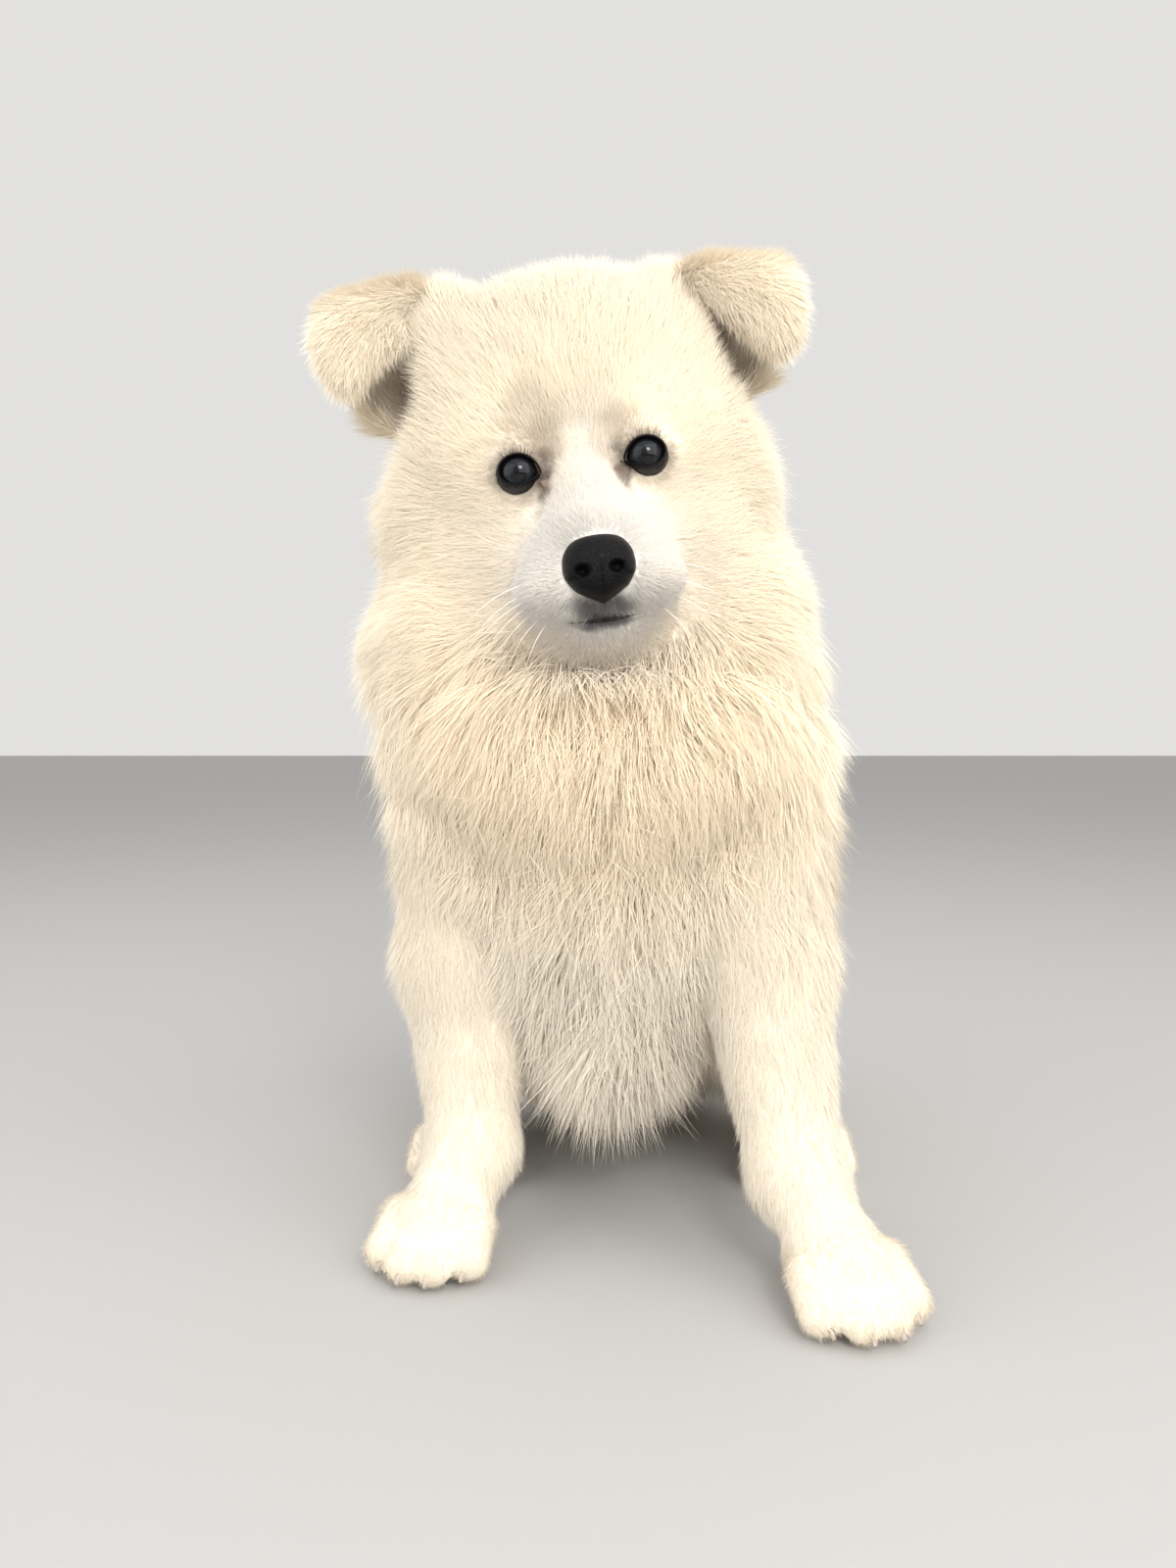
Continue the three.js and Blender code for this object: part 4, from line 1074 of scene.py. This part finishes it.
coat_finish, tree, shader = new_finish("coat_finish", 0.7, 0.25)
shader.inputs["Sheen Weight"].default_value = 0.15
tone = add_node(tree, "Attribute", {"attribute_name": "tone"})
shade = add_node(tree, "MapRange", Value=tone.outputs["Fac"], To_Min=0.85, To_Max=1.08).outputs["Result"]
shaded = add_node(tree, "VectorMath", {"operation": "SCALE"}, Vector=markings_and_shade(tree), Scale=shade)
tree.links.new(shaded.outputs[0], shader.inputs["Base Color"])


STRAY = 0.05  # share of the tufts that stand away from the lie
SWING = 0.25  # radians to either side of it
ROOT_DEPTH = 0.9
TUFT_CLEAR = 1.0


def grow(name, triangles, wanted, rings, seed, clump, draw, own):
    """Roots tufts over some of the skin's triangles, by area and density, and joins them in one mesh.

    Rings are the shares of a tuft's length where its three sides have corners. Clump is how far apart the
    leading tufts stand, draw how much the others lean to them, and own how much of its shading is a tuft's
    own, the rest being the skin's.
    """
    rng = np.random.default_rng(seed)
    weight = area[triangles] * thick[corners[triangles]].mean(1)
    share = weight * wanted / weight.sum()
    times = np.floor(share + rng.random(len(share))).astype(int)
    chosen = np.repeat(triangles, times)
    n = len(chosen)
    r1, r2 = np.sqrt(rng.random(n)), rng.random(n)
    mix = np.stack([1 - r1, r1 * (1 - r2), r1 * r2], 1)

    def at_root(values):
        return np.einsum("nk,nk...->n...", mix, values[corners[chosen]])

    root = at_root(skin_points)
    normal = unit(at_root(skin_normals))
    uv = np.einsum("nk,nkc->nc", mix, unwrap[corner_loops[chosen]])
    across = unit(np.cross(at_root(lie), normal))
    way = np.cross(normal, across)
    swing = rng.normal(0.0, SWING, n) + (rng.random(n) < STRAY) * rng.normal(0.0, 0.6, n)
    way = way * np.cos(swing)[:, None] + across * np.sin(swing)[:, None]
    across = np.cross(way, normal)
    long = at_root(length) * (0.72 + 0.42 * rng.random(n))
    rise = np.radians(at_root(lift)) * (0.75 + 0.5 * rng.random(n)) + (rng.random(n) < STRAY) * 0.25
    half = at_root(width) * (0.38 + 0.24 * rng.random(n))
    start = way * np.cos(1.45 * rise)[:, None] + normal * np.sin(1.45 * rise)[:, None]
    finish = way * np.cos(0.45 * rise)[:, None] + normal * np.sin(0.45 * rise)[:, None]
    bow = rng.normal(0.0, 0.10, n)[:, None] * across

    def path(t):
        return root + long[:, None] * (start * t + (finish - start + bow) * t * t / 2.0)

    leaders = rng.permutation(n)[: max(1, int(area[triangles].sum() / clump**2))]
    nearest = KDTree(len(leaders))
    for k, h in enumerate(leaders):
        nearest.insert(root[h], k)
    nearest.balance()
    leader = np.array([leaders[nearest.find(r)[1]] for r in root])
    pull = draw * (0.5 + 0.8 * rng.random(n))[:, None]

    centres = []
    for t in (*rings, 1.0):
        p = path(t)
        p = p + pull * t**1.3 * (p[leader] - p)
        if t == 0.0:
            p = p - ROOT_DEPTH * normal
        p[:, 2] = np.maximum(p[:, 2], TUFT_CLEAR)
        centres.append(p)
    points_out = np.zeros((n, 3 * len(rings) + 1, 3))
    normals_out = np.zeros_like(points_out)
    for j, t in enumerate(rings):
        forward = unit(centres[j + 1] - centres[j])
        side_way = unit(np.cross(forward, normal))
        up_way = np.cross(side_way, forward)
        size = half * (0.85 if t == 0.0 else 1.0 - t**2.2)
        for k, angle in enumerate((math.radians(90), math.radians(210), math.radians(330))):
            ray = side_way * math.cos(angle) + up_way * math.sin(angle) * 0.8
            points_out[:, 3 * j + k] = centres[j] + ray * size[:, None]
            normals_out[:, 3 * j + k] = ray
    points_out[:, -1] = centres[-1]
    normals_out[:, -1] = normals_out[:, -4]

    # Its faces: three sides from each ring to the next, and from the last ring to the point.
    tip = 3 * len(rings)
    faces = []
    for j in range(0, tip, 3):
        for k, m in ((0, 1), (1, 2), (2, 0)):
            onward = (j + 3 + k, j + 3 + m) if j + 3 < tip else (tip,)
            faces.append((j + k, *onward, j + m))
    tuft = np.arange(n)[:, None]
    loops_of_tuft = np.array([v for face in faces for v in face])
    loops_out = (tuft * (tip + 1) + loops_of_tuft).ravel()
    starts_of_tuft = np.cumsum([0] + [len(face) for face in faces[:-1]])
    loop_starts = (tuft * len(loops_of_tuft) + starts_of_tuft).ravel()

    made = bpy.data.meshes.new(name)
    made.vertices.add(n * (tip + 1))
    made.vertices.foreach_set("co", placed(points_out.reshape(-1, 3)).ravel())
    made.loops.add(len(loops_out))
    made.loops.foreach_set("vertex_index", loops_out)
    made.polygons.add(len(loop_starts))
    made.polygons.foreach_set("loop_start", loop_starts)
    made.update(calc_edges=True)
    made.polygons.foreach_set("use_smooth", np.ones(len(loop_starts), bool))

    # Each tuft has its own patch of the skin's unwrap, and is paler towards its tip.
    height = np.array([t for t in rings for k in range(3)] + [1.0])
    sideways = np.array([k - 1 for t in rings for k in range(3)] + [0.0])
    patch = np.stack([0.001 * sideways, 0.003 * height - 0.0015], 1)
    layer = made.uv_layers.new(name="OFBake")
    layer.data.foreach_set("uv", (uv[:, None, :] + patch)[:, loops_of_tuft].ravel())
    shade_of_vertex = 0.6 * rng.random(n)[:, None] + 0.4 * height
    made.attributes.new("tone", "FLOAT", "POINT").data.foreach_set("value", shade_of_vertex.ravel())

    # The upper sides take some of the skin's shading. The underside, between edges 1 and 2, is shaded as it lies.
    soft = ((1.0 - own) * normal[:, None, :] + own * normals_out)[:, loops_of_tuft]
    under = np.concatenate([np.arange(len(face)) + starts_of_tuft[f] for f, face in enumerate(faces) if f % 3 == 1])
    soft[:, under] = normals_out[:, loops_of_tuft[under]]
    soft[:, under[-2]] = soft[:, under[-3]] + soft[:, under[-1]]
    made.normals_split_custom_set(unit(soft).reshape(-1, 3))
    made.materials.append(coat_finish)
    piece = bpy.data.objects.new(name, made)
    bpy.context.scene.collection.objects.link(piece)
    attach(piece, "root")


STRAIGHT, SHORT, LONG = (0.0,), (0.0, 0.48), (0.0, 0.33, 0.68)
on_face = first_is_head & (middle_in_head[:, 1] < -22.0)
on_crown = first_is_head & ~on_face & (middle_in_head[:, 2] > 16.0)
on_cheek = first_is_head & ~on_face & ~on_crown
on_left = middle_in_head[:, 0] > 0
on_neck = (first_part == "trunk") & (middle_of[:, 2] > 190.0)
on_chest = (first_part == "trunk") & ~on_neck & (middle_of[:, 1] < 60.0)
on_back = (first_part == "trunk") & ~on_neck & ~on_chest
on_front_legs = np.isin(first_part, ("foreleg_left", "foreleg_right", "paw_left", "paw_right"))
on_hind_legs = np.isin(first_part, [p + n for p in ("thigh_", "hock_", "hind_paw_") for n in ("left", "right")])
ruff, front, calf = on_neck & ~first_is_ear, middle_of[:, 1] < 20.0, on_hind_legs & ~first_is_ear
COAT = [
    # name, where, tufts, rings, seed, clump in millimetres, draw, own
    ("coat_face_left", on_face & on_left, 32000, STRAIGHT, 101, 2.0, 0.16, 0.75),
    ("coat_face_right", on_face & ~on_left, 32000, STRAIGHT, 102, 2.0, 0.16, 0.75),
    ("coat_crown", on_crown, 40000, STRAIGHT, 103, 3.4, 0.2, 0.7),
    ("coat_cheek_left", on_cheek & on_left, 34000, STRAIGHT, 104, 4.4, 0.24, 0.7),
    ("coat_cheek_right", on_cheek & ~on_left, 34000, STRAIGHT, 105, 4.4, 0.24, 0.7),
    ("coat_ears", first_is_ear, 36000, STRAIGHT, 106, 2.6, 0.1, 0.85),
    ("coat_ruff_front", ruff & front, 17000, SHORT, 107, 8.0, 0.12, 0.65),
    ("coat_ruff_back", ruff & ~front, 16000, SHORT, 113, 8.0, 0.16, 0.7),
    ("coat_chest", on_chest, 18000, SHORT, 108, 8.0, 0.12, 0.65),
    ("coat_back", on_back, 12000, SHORT, 109, 7.0, 0.2, 0.7),
    ("coat_forelegs", on_front_legs, 52000, STRAIGHT, 110, 3.4, 0.12, 0.7),
    ("coat_hind_legs", calf, 22000, STRAIGHT, 111, 5.0, 0.2, 0.7),
    ("coat_tail", first_part == "tail", 5000, LONG, 112, 8.0, 0.2, 0.7),
]
for coat_name, where_grown, wanted, rings, seed, clump, draw, own in COAT:
    grow(coat_name, np.flatnonzero(where_grown), wanted, rings, seed, clump, draw, own)
